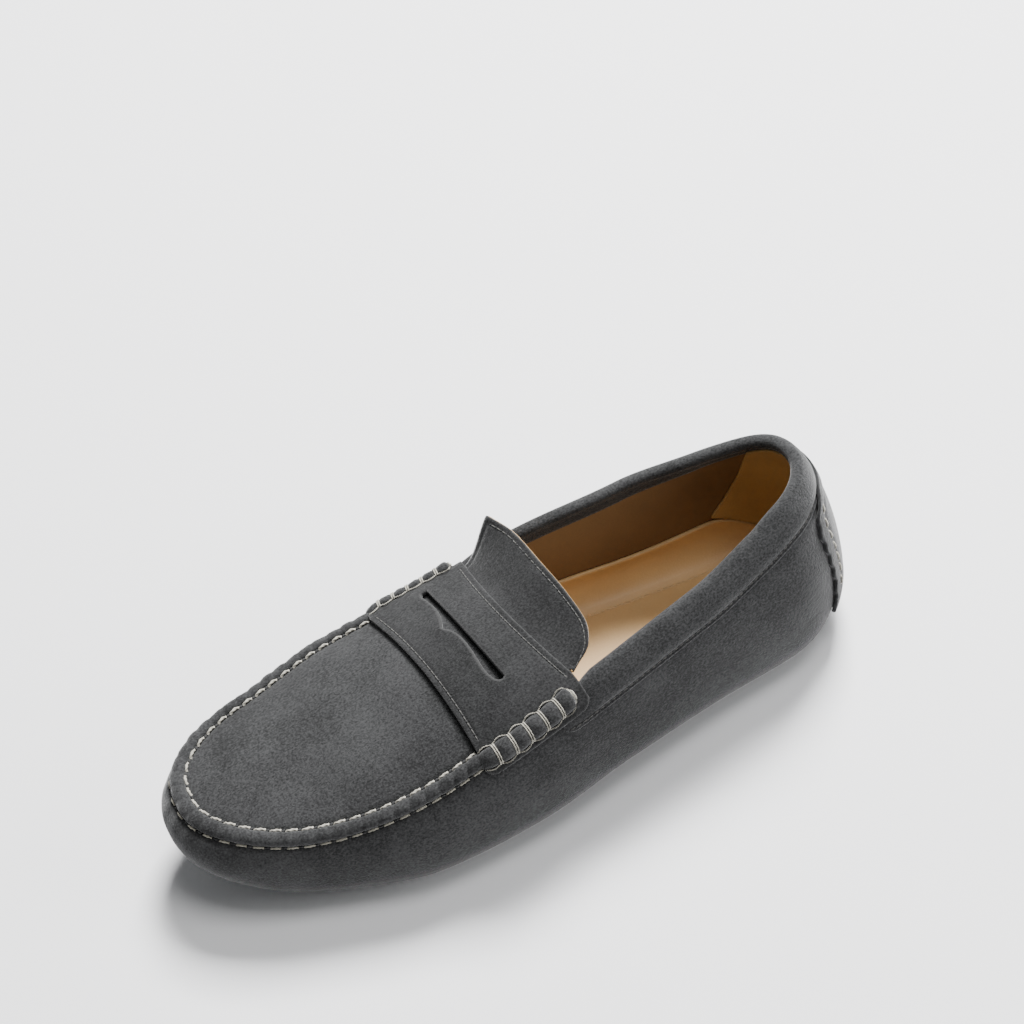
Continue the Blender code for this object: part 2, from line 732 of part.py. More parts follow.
def main():
    for old in list(bpy.data.objects):
        bpy.data.objects.remove(old, do_unlink=True)
    build_upper()
    build_tongue()
    build_strap()
    build_roll("beefroll_lateral", 1)
    build_roll("beefroll_medial", -1)
    build_binding()
    build_heel_tab()
    build_insole()
    build_sole()
    centre_plan()


main()
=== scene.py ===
# %% [markdown]
# A driving moccasin is one soft wall of suede, sewn by hand to a plug that covers the foot.
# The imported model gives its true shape. This lesson dresses that shape: it takes the same
# outline and wall functions, only finer, and lays suede, thread, lining and rubber on them.

# %% Load the frame
import math

import bmesh
import bpy
import numpy as np
from mathutils import Matrix
from mathutils.geometry import delaunay_2d_cdt


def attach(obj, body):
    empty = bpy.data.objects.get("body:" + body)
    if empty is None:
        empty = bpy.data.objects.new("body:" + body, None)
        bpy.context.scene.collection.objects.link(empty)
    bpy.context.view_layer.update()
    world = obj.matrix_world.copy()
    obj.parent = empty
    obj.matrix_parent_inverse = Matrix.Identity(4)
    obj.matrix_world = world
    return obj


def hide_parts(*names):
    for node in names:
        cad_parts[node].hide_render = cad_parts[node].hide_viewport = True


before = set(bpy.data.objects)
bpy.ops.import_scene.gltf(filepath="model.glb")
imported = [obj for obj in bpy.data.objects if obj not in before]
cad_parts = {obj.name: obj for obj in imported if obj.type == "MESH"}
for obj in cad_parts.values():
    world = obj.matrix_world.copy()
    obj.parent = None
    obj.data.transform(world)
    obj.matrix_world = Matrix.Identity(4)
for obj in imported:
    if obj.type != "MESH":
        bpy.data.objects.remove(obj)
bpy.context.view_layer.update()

print("nodes:", sorted(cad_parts))

# %% [markdown]
# The sizes repeat those of the model, in metres. Every section row gives the half outline, its
# middle, the height of the wall and how it leans and curls, from the heel to the toe.

# %% Sizes of the shoe
SHOE_LENGTH = 0.270
BALL_WIDTH = 0.0958
HEEL_HEIGHT = 0.0760
TOE_SPRING = 0.0134
CROWN = 0.0080
TURN_HEIGHT = 0.0151
TURN_REACH = 0.0141
FLANGE = 0.0030
WALL = 0.0022
GAP = 0.0003
BINDING_WALL = 0.0013
HEEL_ROUND = 0.14
HEEL_POWER = 2.08
TOE_ROUND = 0.34
TOE_POWER = 2.27
STRAP_FRONT_OUT = 0.603
STRAP_REAR_OUT = 0.438
STRAP_FRONT_IN = 0.630
STRAP_REAR_IN = 0.487
STRAP_FRONT_BOW = 0.0015
STRAP_REAR_BOW = -0.0035
THROAT_SHARE = 0.53
PLAN_MIDDLE = np.array([0.00118302, 0.00104327, 0.0])

SECTION_COLUMNS = ("at", "half", "middle", "top", "tilt", "lean_out", "lean_in", "bottom", "curl", "crown")
SECTIONS = np.array((
    (0.00, 0.336, -0.046, 1.000, 0.000, 0.129, 0.081, 0.43, 0.55, 0.70),
    (0.10, 0.357, -0.010, 0.928, 0.022, 0.180, 0.070, 0.27, 0.55, 0.75),
    (0.25, 0.394, -0.001, 0.826, 0.026, 0.124, -0.010, 0.39, 0.55, 0.80),
    (0.40, 0.447, 0.008, 0.771, 0.017, 0.118, -0.004, 0.45, 0.67, 0.90),
    (0.55, 0.482, 0.034, 0.686, 0.003, 0.129, 0.026, 0.32, 0.80, 1.00),
    (0.70, 0.499, 0.012, 0.576, -0.012, 0.127, 0.028, 0.24, 0.82, 0.95),
    (0.85, 0.460, -0.032, 0.517, -0.013, 0.091, 0.031, 0.30, 0.84, 0.70),
    (1.00, 0.467, -0.088, 0.520, 0.000, 0.122, 0.077, 1.00, 0.85, 0.00),
))
PHI_STEP = 0.01
REACH_STEP = 0.0004
PROFILE = np.linspace(1, -1, 81)
print("sections:", len(SECTIONS))

# %% [markdown]
# A last has no straight line, so each column of the table is read through a smooth curve that
# never swings past its rows. A station is an angle round the shoe: 0 at the heel's back, half a
# turn at the toe, and the lateral side comes first.

# %% Curves, steps and lengths
def smooth_curve(xs, ys, at):
    """Cubic through the rows which never swings past them."""
    width = np.diff(xs)
    slope = np.diff(ys) / width
    turn = np.zeros(len(xs))
    before, after = slope[:-1], slope[1:]
    total = np.where(before + after == 0, 1.0, before + after)
    turn[1:-1] = np.where(before * after > 0, 2 * before * after / total, 0.0)
    turn[0], turn[-1] = slope[0], slope[-1]
    row = np.clip(np.searchsorted(xs, at, side="right") - 1, 0, len(xs) - 2)
    t = (at - xs[row]) / width[row]
    return (ys[row] * (1 + 2 * t) * (1 - t) ** 2 + ys[row + 1] * t * t * (3 - 2 * t)
            + width[row] * t * (1 - t) * (turn[row] * (1 - t) - turn[row + 1] * t))


def section(name, at):
    """A column of the section table at any share of the length."""
    return smooth_curve(SECTIONS[:, 0], SECTIONS[:, SECTION_COLUMNS.index(name)], at)


def ease(x):
    """Smooth step from 0 to 1."""
    x = np.clip(x, 0.0, 1.0)
    return x * x * (3 - 2 * x)


def hump(x, width):
    """A soft bump of height one round 0."""
    return np.exp(-(x / width) ** 2)


def unit(v):
    """Vectors of length one."""
    return v / np.maximum(np.linalg.norm(v, axis=-1, keepdims=True), 1e-12)


def lengths(line):
    """Length along a line up to each of its points."""
    return np.concatenate([[0.0], np.cumsum(np.linalg.norm(np.diff(line, axis=0), axis=1))])


def at_lengths(line, spots):
    """Points of a flat line at lengths along it."""
    run = lengths(line)
    return np.stack([np.interp(spots, run, line[:, axis]) for axis in range(2)], -1)


def even_spots(total, pitch, shift=0.5):
    """Lengths at even steps, near a pitch, that fill a total length."""
    count = round(total / pitch)
    return (np.arange(count) + shift) / count * total


print("wall at half its length:", round(HEEL_HEIGHT * float(section("top", 0.5)) * 1000, 1), "mm high")

# %% The outline from above
def full_turn(count):
    """Angles at even steps all round."""
    return np.linspace(0, 2 * math.pi, count, endpoint=False)


def side_of(phi):
    """1 on the lateral side, -1 on the medial side."""
    return np.where(np.sin(phi) >= 0, 1.0, -1.0)


def station_of(share, side):
    """The station's angle at a share of the length, side 1 lateral or -1 medial."""
    return side * math.acos(1 - 2 * share)


def share_of(phi):
    """Share of the length at a station."""
    return (1 - np.cos(phi)) / 2


def outline(phi):
    """The widest outline, seen from above."""
    s = share_of(phi)
    heel = np.clip((HEEL_ROUND - s) / HEEL_ROUND, 0, 1)
    toe = np.clip((s - 1 + TOE_ROUND) / TOE_ROUND, 0, 1)
    ends = np.maximum(0, 1 - heel ** HEEL_POWER) ** (1 / HEEL_POWER)
    ends = ends * np.maximum(0, 1 - toe ** TOE_POWER) ** (1 / TOE_POWER)
    x = BALL_WIDTH * (section("middle", s) + side_of(phi) * section("half", s) * ends)
    return np.stack([x, SHOE_LENGTH * (0.5 - s)], -1)


def inward(phi):
    """Direction from the outline into the shoe, seen from above."""
    run = unit(outline(phi + 2 * PHI_STEP) - outline(phi - 2 * PHI_STEP))
    return np.stack([run[..., 1], -run[..., 0]], -1)


print("ball width", round(float(np.ptp(outline(full_turn(720))[:, 0])) * 1000, 1), "mm")

# %% The wall's profile
def lean(phi):
    """How far the wall's top stands in from the outline."""
    s = share_of(phi)
    out, inn = section("lean_out", s), section("lean_in", s)
    ends = np.clip(np.exp(-s / 0.04) + np.exp(-(1 - s) / 0.04), 0, 1)
    own = np.where(np.sin(phi) >= 0, out, inn)
    return BALL_WIDTH * (own * (1 - ends) + (out + inn) / 2 * ends)


def floor_line(y):
    """Underside of the suede along the shoe."""
    reach = SHOE_LENGTH / 2 - TURN_REACH
    return TOE_SPRING * section("bottom", np.clip((reach - y) / (2 * reach), 0, 1))


def bottom_height(phi):
    """Underside of the suede where the wall has turned under."""
    return floor_line((outline(phi) + inward(phi) * TURN_REACH)[..., 1])


def crest_height(phi):
    """The wall's top; under the collar band it is lower by the band."""
    s = share_of(phi)
    under_band = ease((THROAT_SHARE - s) / (THROAT_SHARE - STRAP_REAR_OUT))
    top = HEEL_HEIGHT * (section("top", s) + side_of(phi) * section("tilt", s))
    return top - (GAP + BINDING_WALL) * under_band


def wall_profile(phi, t):
    """Points of the wall for stations (N) and places t (N, M): 1 top, 0 widest, -1 turned under."""
    phi = phi[:, None]
    wide = bottom_height(phi) + TURN_HEIGHT
    curl = section("curl", share_of(phi)) * math.pi / 2
    up = np.maximum(t, 0)
    down = np.maximum(-t, 0) * math.pi / 2
    inset = lean(phi) * (1 - np.cos(curl * up)) / (1 - np.cos(curl)) + TURN_REACH * (1 - np.cos(down))
    z = wide + (crest_height(phi) - wide) * np.sin(curl * up) / np.sin(curl) - TURN_HEIGHT * np.sin(down)
    plan = outline(phi) + inward(phi) * inset[..., None]
    return np.concatenate([plan, z[..., None]], -1)


def wall_depths(phi):
    """Length down the wall at each place of the profile, one row a station."""
    line = wall_profile(phi, np.broadcast_to(PROFILE, (len(phi), len(PROFILE))))
    steps = np.linalg.norm(np.diff(line, axis=1), axis=2)
    return np.concatenate([np.zeros((len(phi), 1)), np.cumsum(steps, axis=1)], axis=1)


def wall_grid(phi, depth):
    """Points at depths (N, M) below the wall's top."""
    t = np.array([np.interp(row, line, PROFILE) for row, line in zip(depth, wall_depths(phi))])
    return wall_profile(phi, t)


print("wall down to the turn", round(float(wall_depths(np.zeros(1))[0, -1]) * 1000, 1), "mm at the heel")

# %% The plug's surface
CREST_PHI = np.linspace(0.0, math.pi, 361)
CREST = {side: wall_profile(side * CREST_PHI, np.ones((len(CREST_PHI), 1)))[:, 0] for side in (1, -1)}
CREST_CROWN = section("crown", share_of(CREST_PHI))


def crest_at(side, y, axis):
    """One coordinate of the sewn edge at places along the shoe."""
    return np.interp(-y, -CREST[side][:, 1], CREST[side][:, axis])


def apron(x, y):
    """Points of the plug's surface over places seen from above."""
    right, left = crest_at(1, y, 0), crest_at(-1, y, 0)
    crown = CROWN * np.interp(-y, -CREST[1][:, 1], CREST_CROWN)
    u = (x - (right + left) / 2) / np.maximum((right - left) / 2, GAP)
    z = (crest_at(1, y, 2) * (1 + u) + crest_at(-1, y, 2) * (1 - u)) / 2 + crown * (1 - np.minimum(u * u, 1.0))
    return np.stack([x, y, z], -1)


print("crown of the plug", round(CROWN * 1000, 1), "mm")

# %% [markdown]
# Reach measures across the sewn edge: below 0 it runs down the wall, above 0 it runs onto the
# plug. Real suede bends round that edge, so the skin averages a few places on either side.

# %% One skin over wall and plug
FOLD = 0.0022


def base_grid(phi, reach):
    """Points at reach (N, M), with a sharp fold at 0."""
    wall = wall_grid(phi, np.maximum(-reach, 0))
    crest = wall_profile(phi, np.ones((len(phi), 1)))
    plan = crest[..., :2] + inward(phi)[:, None] * np.maximum(reach, 0)[..., None]
    return np.where(reach[..., None] > 0, apron(plan[..., 0], plan[..., 1]), wall)


def skin(phi, reach):
    """Points at reach (N, M), with the fold made round."""
    near = FOLD * ease(2 - np.abs(reach) / (2 * FOLD))
    weights = (1, 2, 3, 2, 1)
    shifts = np.linspace(-1, 1, len(weights))
    return sum(base_grid(phi, reach + shift * near) * weight for shift, weight in zip(shifts, weights)) / 9


def skin_frame(phi, reach):
    """Points, directions along the shoe and directions out of the skin, at reach (N, M)."""
    across = skin(phi, reach - REACH_STEP) - skin(phi, reach + REACH_STEP)
    along = skin(phi + PHI_STEP, reach) - skin(phi - PHI_STEP, reach)
    return skin(phi, reach), unit(along), unit(np.cross(along, across))


def inner_frame(phi, depth):
    """Points, runs and directions out, for depths (N, M) down the plain wall."""
    down = wall_grid(phi, depth + REACH_STEP) - wall_grid(phi, np.maximum(depth - REACH_STEP, 0))
    along = wall_grid(phi + PHI_STEP, depth) - wall_grid(phi - PHI_STEP, depth)
    return wall_grid(phi, depth), unit(along), unit(np.cross(along, down))


def even_stations(start, stop, reach, pitch):
    """Stations at even steps of length along a line at one reach, and the step."""
    fine = np.linspace(start, stop, 601)
    line = skin(fine, np.full((601, 1), reach))[:, 0]
    run = lengths(line)
    spots = even_spots(run[-1], pitch)
    return np.interp(spots, run, fine), run[-1] / len(spots)


SEAM_START = station_of(STRAP_FRONT_OUT, 1)
SEAM_STOP = 2 * math.pi + station_of(STRAP_FRONT_IN, -1)
SEAM_MIDDLE = 0.0025
HAND_PITCH = 0.0057
seam_line, STITCH_PITCH = even_stations(SEAM_START, SEAM_STOP, SEAM_MIDDLE, HAND_PITCH)
print("hand stitches:", len(seam_line), "pitch", round(STITCH_PITCH * 1000, 2), "mm")

# %% [markdown]
# Three ways of making a mesh are enough here. A loft joins cross-sections into a closed form, a
# shell gives a woven grid its thickness, and a cut piece is a flat pattern laid on a form.

# %% Mesh builders
def put(name, data):
    """An object in the scene."""
    made = bpy.data.objects.new(name, data)
    bpy.context.scene.collection.objects.link(made)
    return made


def mark_points(mesh, name, values):
    """A number or a direction kept on each point."""
    values = np.asarray(values, dtype=np.float32)
    kind, field = ("FLOAT", "value") if values.ndim == 1 else ("FLOAT_VECTOR", "vector")
    mesh.attributes.new(name, kind, "POINT").data.foreach_set(field, values.ravel())


def add_piece(name, points, faces=(), edges=(), marks=None):
    """An object in the model's frame, with its place in its mesh and its marks on its points."""
    mesh = bpy.data.meshes.new(name)
    mesh.from_pydata((np.asarray(points) - PLAN_MIDDLE).tolist(), edges, faces)
    for label, values in (marks or {}).items():
        mark_points(mesh, label, values)
    mesh.validate()
    if len(faces):
        mesh.shade_smooth()
    return put(name, mesh)


def turn_out(made):
    """Faces pointed outwards on a closed form."""
    form = bmesh.new()
    form.from_mesh(made.data)
    bmesh.ops.recalc_face_normals(form, faces=form.faces)
    form.to_mesh(made.data)
    form.free()
    return made


print("pieces can be added")

# %% Lofts and shells
def loft(name, rings, closed=False):
    """A closed form from rings (N, M, 3) of points: capped at both ends, or joined end to end."""
    ids = np.arange(rings.shape[0] * rings.shape[1]).reshape(rings.shape[:2])
    here = ids if closed else ids[:-1]
    there = np.roll(ids, -1, axis=0)[:len(here)]
    faces = np.stack([here, np.roll(here, -1, axis=1), np.roll(there, -1, axis=1), there], -1)
    faces = faces.reshape(-1, 4).tolist()
    if not closed:
        faces += [ids[0, ::-1].tolist(), ids[-1].tolist()]
    return turn_out(add_piece(name, rings.reshape(-1, 3), faces))


def shell(name, outer, inner):
    """A closed form from two grids (N, M, 3) that go all round, joined along their rims."""
    return loft(name, np.concatenate([outer, inner[:, ::-1]], axis=1), True)


print("lofts and shells ready")

# %% Cut pieces
def inside(places, loops):
    """Whether places lie inside the loops, holes left out."""
    odd = np.zeros(len(places), dtype=bool)
    for loop in loops:
        for (x0, y0), (x1, y1) in zip(loop, np.roll(loop, -1, axis=0)):
            if y0 != y1:
                crossed = (y0 > places[:, 1]) != (y1 > places[:, 1])
                odd ^= crossed & (places[:, 0] < (x1 - x0) * (places[:, 1] - y0) / (y1 - y0) + x0)
    return odd


def edge_distance(places, loops):
    """Distance from places to the nearest cut edge."""
    best = np.full(len(places), 1.0)
    for loop in loops:
        for start, stop in zip(loop, np.roll(loop, -1, axis=0)):
            run = stop - start
            t = np.clip(((places - start) @ run) / max(run @ run, 1e-15), 0, 1)
            best = np.minimum(best, np.linalg.norm(places - start - t[:, None] * run, axis=1))
    return best


def resample(loop, spacing):
    """A closed loop with its points at even steps."""
    closed = np.concatenate([loop, loop[:1]])
    total = lengths(closed)[-1]
    return at_lengths(closed, np.linspace(0, total, max(int(total / spacing), 8), endpoint=False))


def cut_pattern(loops, spacing):
    """A flat pattern with holes: its points, its triangles and its borders, as lists of points."""
    low, high = loops[0].min(axis=0), loops[0].max(axis=0)
    rows = np.arange(low[1], high[1], spacing * 0.87)
    grid = np.array([(x + (i % 2) * spacing / 2, y) for i, y in enumerate(rows)
                     for x in np.arange(low[0], high[0], spacing)])
    grid = grid[inside(grid, loops)]
    grid = grid[edge_distance(grid, loops) > 0.6 * spacing]
    starts = np.cumsum([0] + [len(loop) for loop in loops]).tolist()
    borders = [list(range(start, stop)) for start, stop in zip(starts, starts[1:])]
    edges = [(a, b) for border in borders for a, b in zip(border, border[1:] + border[:1])]
    places = np.concatenate(loops + [grid]).tolist()
    found, _, faces, origins, _, _ = delaunay_2d_cdt(places, edges, [], 0, 1e-9)
    flat, faces = np.array(found), np.array(faces)
    new_place = {old: new for new, olds in enumerate(origins) for old in olds}
    faces = faces[inside(flat[faces].mean(axis=1), loops)]
    sides = flat[faces[:, 1:]] - flat[faces[:, :1]]
    faces = np.where(np.cross(sides[:, 0], sides[:, 1])[:, None] > 0, faces, faces[:, ::-1])
    return flat, faces, [np.array([new_place[i] for i in border]) for border in borders]


EDGE_TURNS = np.radians((50, 0, -50))


def cut_piece(name, loops, place, lift, spacing):
    """A flat pattern laid on a form by place and made thick by lift, with its edges round."""
    loops = [resample(loop, spacing) for loop in loops]
    flat, faces, borders = cut_pattern(loops, spacing)
    distance = edge_distance(flat, loops)
    points, out = place(flat)
    under, over = (np.broadcast_to(level, len(flat))[:, None] for level in lift(flat, distance))
    verts = [points + out * over, points + out * under]
    quads = faces.tolist() + (faces[:, ::-1] + len(flat)).tolist()
    total = 2 * len(flat)
    for ids in borders:
        run = flat[np.roll(ids, -1)] - flat[np.roll(ids, 1)]
        outside = unit(np.stack([run[:, 1], -run[:, 0]], -1))
        if inside(flat[ids] + outside * spacing * 0.3, loops).mean() > 0.5:
            outside = -outside
        away = unit(place(flat[ids] + outside * REACH_STEP)[0] - points[ids])
        thick = (over - under)[ids]
        middle = points[ids] + out[ids] * ((over + under)[ids] / 2)
        rows = [ids]
        for turn in EDGE_TURNS:
            verts.append(middle + out[ids] * thick / 2 * math.sin(turn) + away * thick * 0.3 * math.cos(turn))
            rows.append(np.arange(total, total + len(ids)))
            total += len(ids)
        rows.append(ids + len(flat))
        for here, there in zip(rows, rows[1:]):
            quads += np.stack([here, np.roll(here, -1), np.roll(there, -1), there], -1).tolist()
    marks = np.concatenate([distance, distance, np.zeros(total - 2 * len(flat))])
    return turn_out(add_piece(name, np.concatenate(verts), quads, marks={"edge": marks}))


print("cut pieces ready")

# %% [markdown]
# Shader maths reads best as plain arithmetic. A wire wraps one socket, and its operators add the
# Math nodes. Every other node comes from one method that sets its settings first.

# %% Wires and trees
class Wire:
    """One output socket, with arithmetic."""

    def __init__(self, tree, socket):
        self.tree = tree
        self.socket = socket

    def math(self, operation, first, second):
        return self.tree.node("ShaderNodeMath", {"operation": operation}, {0: first, 1: second})

    def __add__(self, other):
        return self.math("ADD", self, other)

    def __radd__(self, other):
        return self.math("ADD", other, self)

    def __sub__(self, other):
        return self.math("SUBTRACT", self, other)

    def __rsub__(self, other):
        return self.math("SUBTRACT", other, self)

    def __mul__(self, other):
        return self.math("MULTIPLY", self, other)

    def __rmul__(self, other):
        return self.math("MULTIPLY", other, self)

    def __truediv__(self, other):
        return self.math("DIVIDE", self, other)

    def __pow__(self, other):
        return self.math("POWER", self, other)


print("wires ready")

# %% One method for every node
class Tree:
    """A node tree that makes its nodes by one method."""

    def __init__(self, tree):
        self.tree = tree

    def node(self, kind, settings=None, inputs=None, output=0):
        made = self.tree.nodes.new(kind)
        for key, value in (settings or {}).items():
            if key == "stops":
                ramp = made.color_ramp.elements
                while len(ramp) < len(value):
                    ramp.new(0.5)
                for stop, (place, color) in zip(ramp, value):
                    stop.position = place
                    stop.color = color
            else:
                setattr(made, key, value)
        for key, value in (inputs or {}).items():
            if isinstance(value, Wire):
                self.tree.links.new(value.socket, made.inputs[key])
            else:
                made.inputs[key].default_value = value
        return Wire(self, made.outputs[output]) if made.outputs else made

    def noise(self, place, scale, detail=2.0, roughness=0.5):
        """Cloudy noise about 1/scale across, from 0 to 1."""
        return self.node("ShaderNodeTexNoise", {}, {"Vector": place, "Scale": scale, "Detail": detail,
                                                    "Roughness": roughness})

    def stretched(self, place, scale):
        """Places with each axis scaled."""
        return self.node("ShaderNodeMapping", {}, {"Vector": place, "Scale": scale})

    def clamp(self, value):
        return self.node("ShaderNodeClamp", {}, {"Value": value})

    def absolute(self, value):
        return self.node("ShaderNodeMath", {"operation": "ABSOLUTE"}, {0: value})

    def vector(self, **axes):
        return self.node("ShaderNodeCombineXYZ", {}, axes)

    def named(self, name, kind):
        """A value that the points carry."""
        return self.node("GeometryNodeInputNamedAttribute", {"data_type": kind}, {"Name": name})

    def mix(self, factor, first, second):
        """A colour between two."""
        return self.node("ShaderNodeMix", {"data_type": "RGBA"}, {0: factor, 6: first, 7: second}, 2)


print("trees ready")

# %% The frame of a material
def new_material(name):
    """An empty material, its tree and its object coordinates."""
    made = bpy.data.materials.new(name)
    made.use_nodes = True
    made.node_tree.nodes.clear()
    tree = Tree(made.node_tree)
    return made, tree, tree.node("ShaderNodeTexCoord", output="Object")


def finish_material(tree, color, roughness, height, strength, distance, constants):
    """The Principled shader, with a bump from a height."""
    bump = tree.node("ShaderNodeBump", {}, {"Strength": strength, "Distance": distance, "Height": height})
    inputs = {"Base Color": color, "Roughness": roughness, "Normal": bump}
    inputs.update(constants)
    shader = tree.node("ShaderNodeBsdfPrincipled", {}, inputs)
    tree.node("ShaderNodeOutputMaterial", {}, {"Surface": shader})


print("node helpers ready")

# %% [markdown]
# Suede is the flesh side of leather, brushed to a nap. Fibres lean in cloudy patches, so its
# grey drifts in soft clouds, with a fine salt-and-pepper grain and a pale bloom at the edges of
# the form. Noise at three scales gives the colour, the finest one the bump, and sheen the bloom.

# %% Suede
def grey(value, blue=0.03):
    """A cool grey."""
    return (value, value * (1 + blue / 3), value * (1 + blue), 1.0)


def suede(name, dark, light, cut, grain=2.1):
    """Napped suede between two greys, with a paler cut edge."""
    made, tree, place = new_material(name)
    cloud = tree.noise(place, 34.0, 3.0, 0.55)
    brushed = tree.noise(tree.stretched(place, (240.0, 110.0, 240.0)), 1.0, 3.0, 0.6)
    speckle = tree.noise(place, 1150.0, 2.0, 0.75)
    fibre = tree.noise(tree.stretched(place, (1900.0, 900.0, 1900.0)), 1.0, 2.0, 0.6)
    tone = 0.5 + (cloud - 0.5) * 1.5 + (brushed - 0.5) * 0.5 + (speckle - 0.5) * grain + (fibre - 0.5) * grain
    body = tree.mix(tree.clamp(tone), grey(dark), grey(light))
    rim = tree.node("ShaderNodeAttribute", {"attribute_name": "edge"}, {}, "Fac")
    worn = tree.clamp(1.0 - rim / 0.0006 + (speckle - 0.5) * 0.8)
    color = tree.mix(worn * cut, body, grey(light * 1.5, 0.0))
    height = speckle * 0.7 + fibre * 0.5 + brushed * 0.5
    finish_material(tree, color, 0.92, height, 0.6, 0.0006,
                    {"Sheen Weight": 0.30, "Sheen Roughness": 0.40, "Specular IOR Level": 0.12})
    return made


SUEDE = suede("suede", 0.0165, 0.049, 0.0)
# A darker copy of the suede for the strap and the tongue, painted shade; its cut edges are paler.
SUEDE_PAINTED_SHADE = suede("suede_painted_shade", 0.0115, 0.034, 0.6)
SUEDE_TRIM = suede("suede_trim", 0.011, 0.034, 0.0)
print("suede ready")

# %% [markdown]
# The lining and the sock are smooth tan leather, the lining's colour darkened as painted shade; the
# heel grip is tan suede, and the thread is waxed cotton. The studs are moulded rubber.

# %% Leather, thread and rubber
def leather(name, dark, light, roughness):
    """Smooth leather with fine pores and soft clouds of colour."""
    made, tree, place = new_material(name)
    cloud = tree.noise(place, 30.0, 3.0, 0.5)
    pores = tree.noise(place, 1300.0, 2.0, 0.6)
    color = tree.mix(tree.clamp(0.5 + (cloud - 0.5) * 1.4 + (pores - 0.5) * 0.5), (*dark, 1.0), (*light, 1.0))
    finish_material(tree, color, tree.clamp(roughness + (cloud - 0.5) * 0.2), pores, 0.25, 0.0002,
                    {"Specular IOR Level": 0.4})
    return made


def thread(name, dark, light):
    """Twisted thread between two colours, with fine fuzz and a slow drift."""
    made, tree, place = new_material(name)
    fuzz = tree.noise(place, 2200.0, 2.0, 0.6)
    drift = tree.noise(place, 60.0, 1.0, 0.5)
    color = tree.mix(tree.clamp(fuzz * 0.9 + (drift - 0.5) * 0.6), (*dark, 1.0), (*light, 1.0))
    finish_material(tree, color, 0.75, fuzz, 0.4, 0.0002, {"Sheen Weight": 0.2})
    return made


SOCK = leather("sock_leather", (0.44, 0.27, 0.115), (0.57, 0.37, 0.17), 0.5)
# Tan leather made far darker than the sock: painted shade of the inner walls.
LINING_SHADED = leather("lining_painted_shade", (0.11, 0.060, 0.026), (0.165, 0.094, 0.041), 0.45)
GRIP = leather("heel_grip_suede", (0.30, 0.19, 0.075), (0.46, 0.31, 0.13), 0.9)
THREAD = thread("thread_cream", (0.24, 0.23, 0.19), (0.56, 0.53, 0.46))
# A darker copy of the cream thread for the seam's outer row: painted shade.
THREAD_SHADED = thread("thread_painted_shade", (0.16, 0.15, 0.12), (0.36, 0.34, 0.28))
THREAD_GREY = thread("thread_grey", (0.035, 0.035, 0.033), (0.12, 0.115, 0.105))
THREAD_TAN = thread("thread_tan", (0.42, 0.28, 0.12), (0.62, 0.44, 0.22))
# Near-black thread for the marks between stitches: painted shade of the stitch holes.
HOLE_SHADE = thread("pinhole_painted_shade", (0.006, 0.006, 0.006), (0.012, 0.012, 0.012))
RUBBER = leather("rubber", (0.030, 0.030, 0.032), (0.042, 0.042, 0.044), 0.7)


def dress(made, look, slot, *nodes):
    """Finish, body and the nodes that a piece stands for; the slot is not used."""
    made.data.materials.clear()
    made.data.materials.append(look)
    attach(made, "root")
    if nodes:
        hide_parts(*nodes)
    print(made.name, len(made.data.polygons), "faces")
    return made


# %% [markdown]
# Hundreds of stitches follow the seams. Geometry Nodes place one small stitch on each point of a
# seam: the point carries the seam's run and the direction out of the leather, and the tree turns
# the stitch to them.

# %% Trees for stitches and threads
def group_tree(name, inputs):
    """An empty geometry tree with named inputs, and a look-up of its inputs."""
    group = bpy.data.node_groups.new(name, "GeometryNodeTree")
    group.interface.new_socket("Geometry", in_out="INPUT", socket_type="NodeSocketGeometry")
    group.interface.new_socket("Geometry", in_out="OUTPUT", socket_type="NodeSocketGeometry")
    for label, kind in inputs:
        group.interface.new_socket(label, in_out="INPUT", socket_type="NodeSocket" + kind)
    tree = Tree(group)
    source = group.nodes.new("NodeGroupInput")
    return group, tree, {socket.name: Wire(tree, socket) for socket in source.outputs if socket.name}


def end_tree(tree, shape, look):
    """Realized, smooth, with its material."""
    real = tree.node("GeometryNodeRealizeInstances", {}, {"Geometry": shape})
    smooth = tree.node("GeometryNodeSetShadeSmooth", {}, {"Geometry": real})
    painted = tree.node("GeometryNodeSetMaterial", {}, {"Geometry": smooth, "Material": look})
    tree.node("NodeGroupOutput", {}, {"Geometry": painted})


def twisted_tube(tree, curve, radius, turns, taper):
    """A tube of two plies: a flat round profile that turns along the curve."""
    along = tree.node("GeometryNodeSplineParameter")
    if taper:
        narrow = 1.0 - tree.absolute(along * 2.0 - 1.0) ** 4.0 * 0.6
        curve = tree.node("GeometryNodeSetCurveRadius", {}, {"Curve": curve, "Radius": narrow})
    curve = tree.node("GeometryNodeSetCurveTilt", {}, {"Curve": curve, "Tilt": along * turns})
    ring = tree.node("GeometryNodeCurvePrimitiveCircle", {}, {"Resolution": 8, "Radius": radius})
    flat = tree.node("GeometryNodeTransform", {}, {"Geometry": ring, "Scale": (1.0, 0.72, 1.0)})
    return tree.node("GeometryNodeCurveToMesh", {}, {"Curve": curve, "Profile Curve": flat, "Fill Caps": True})


print("frame of a geometry tree ready")

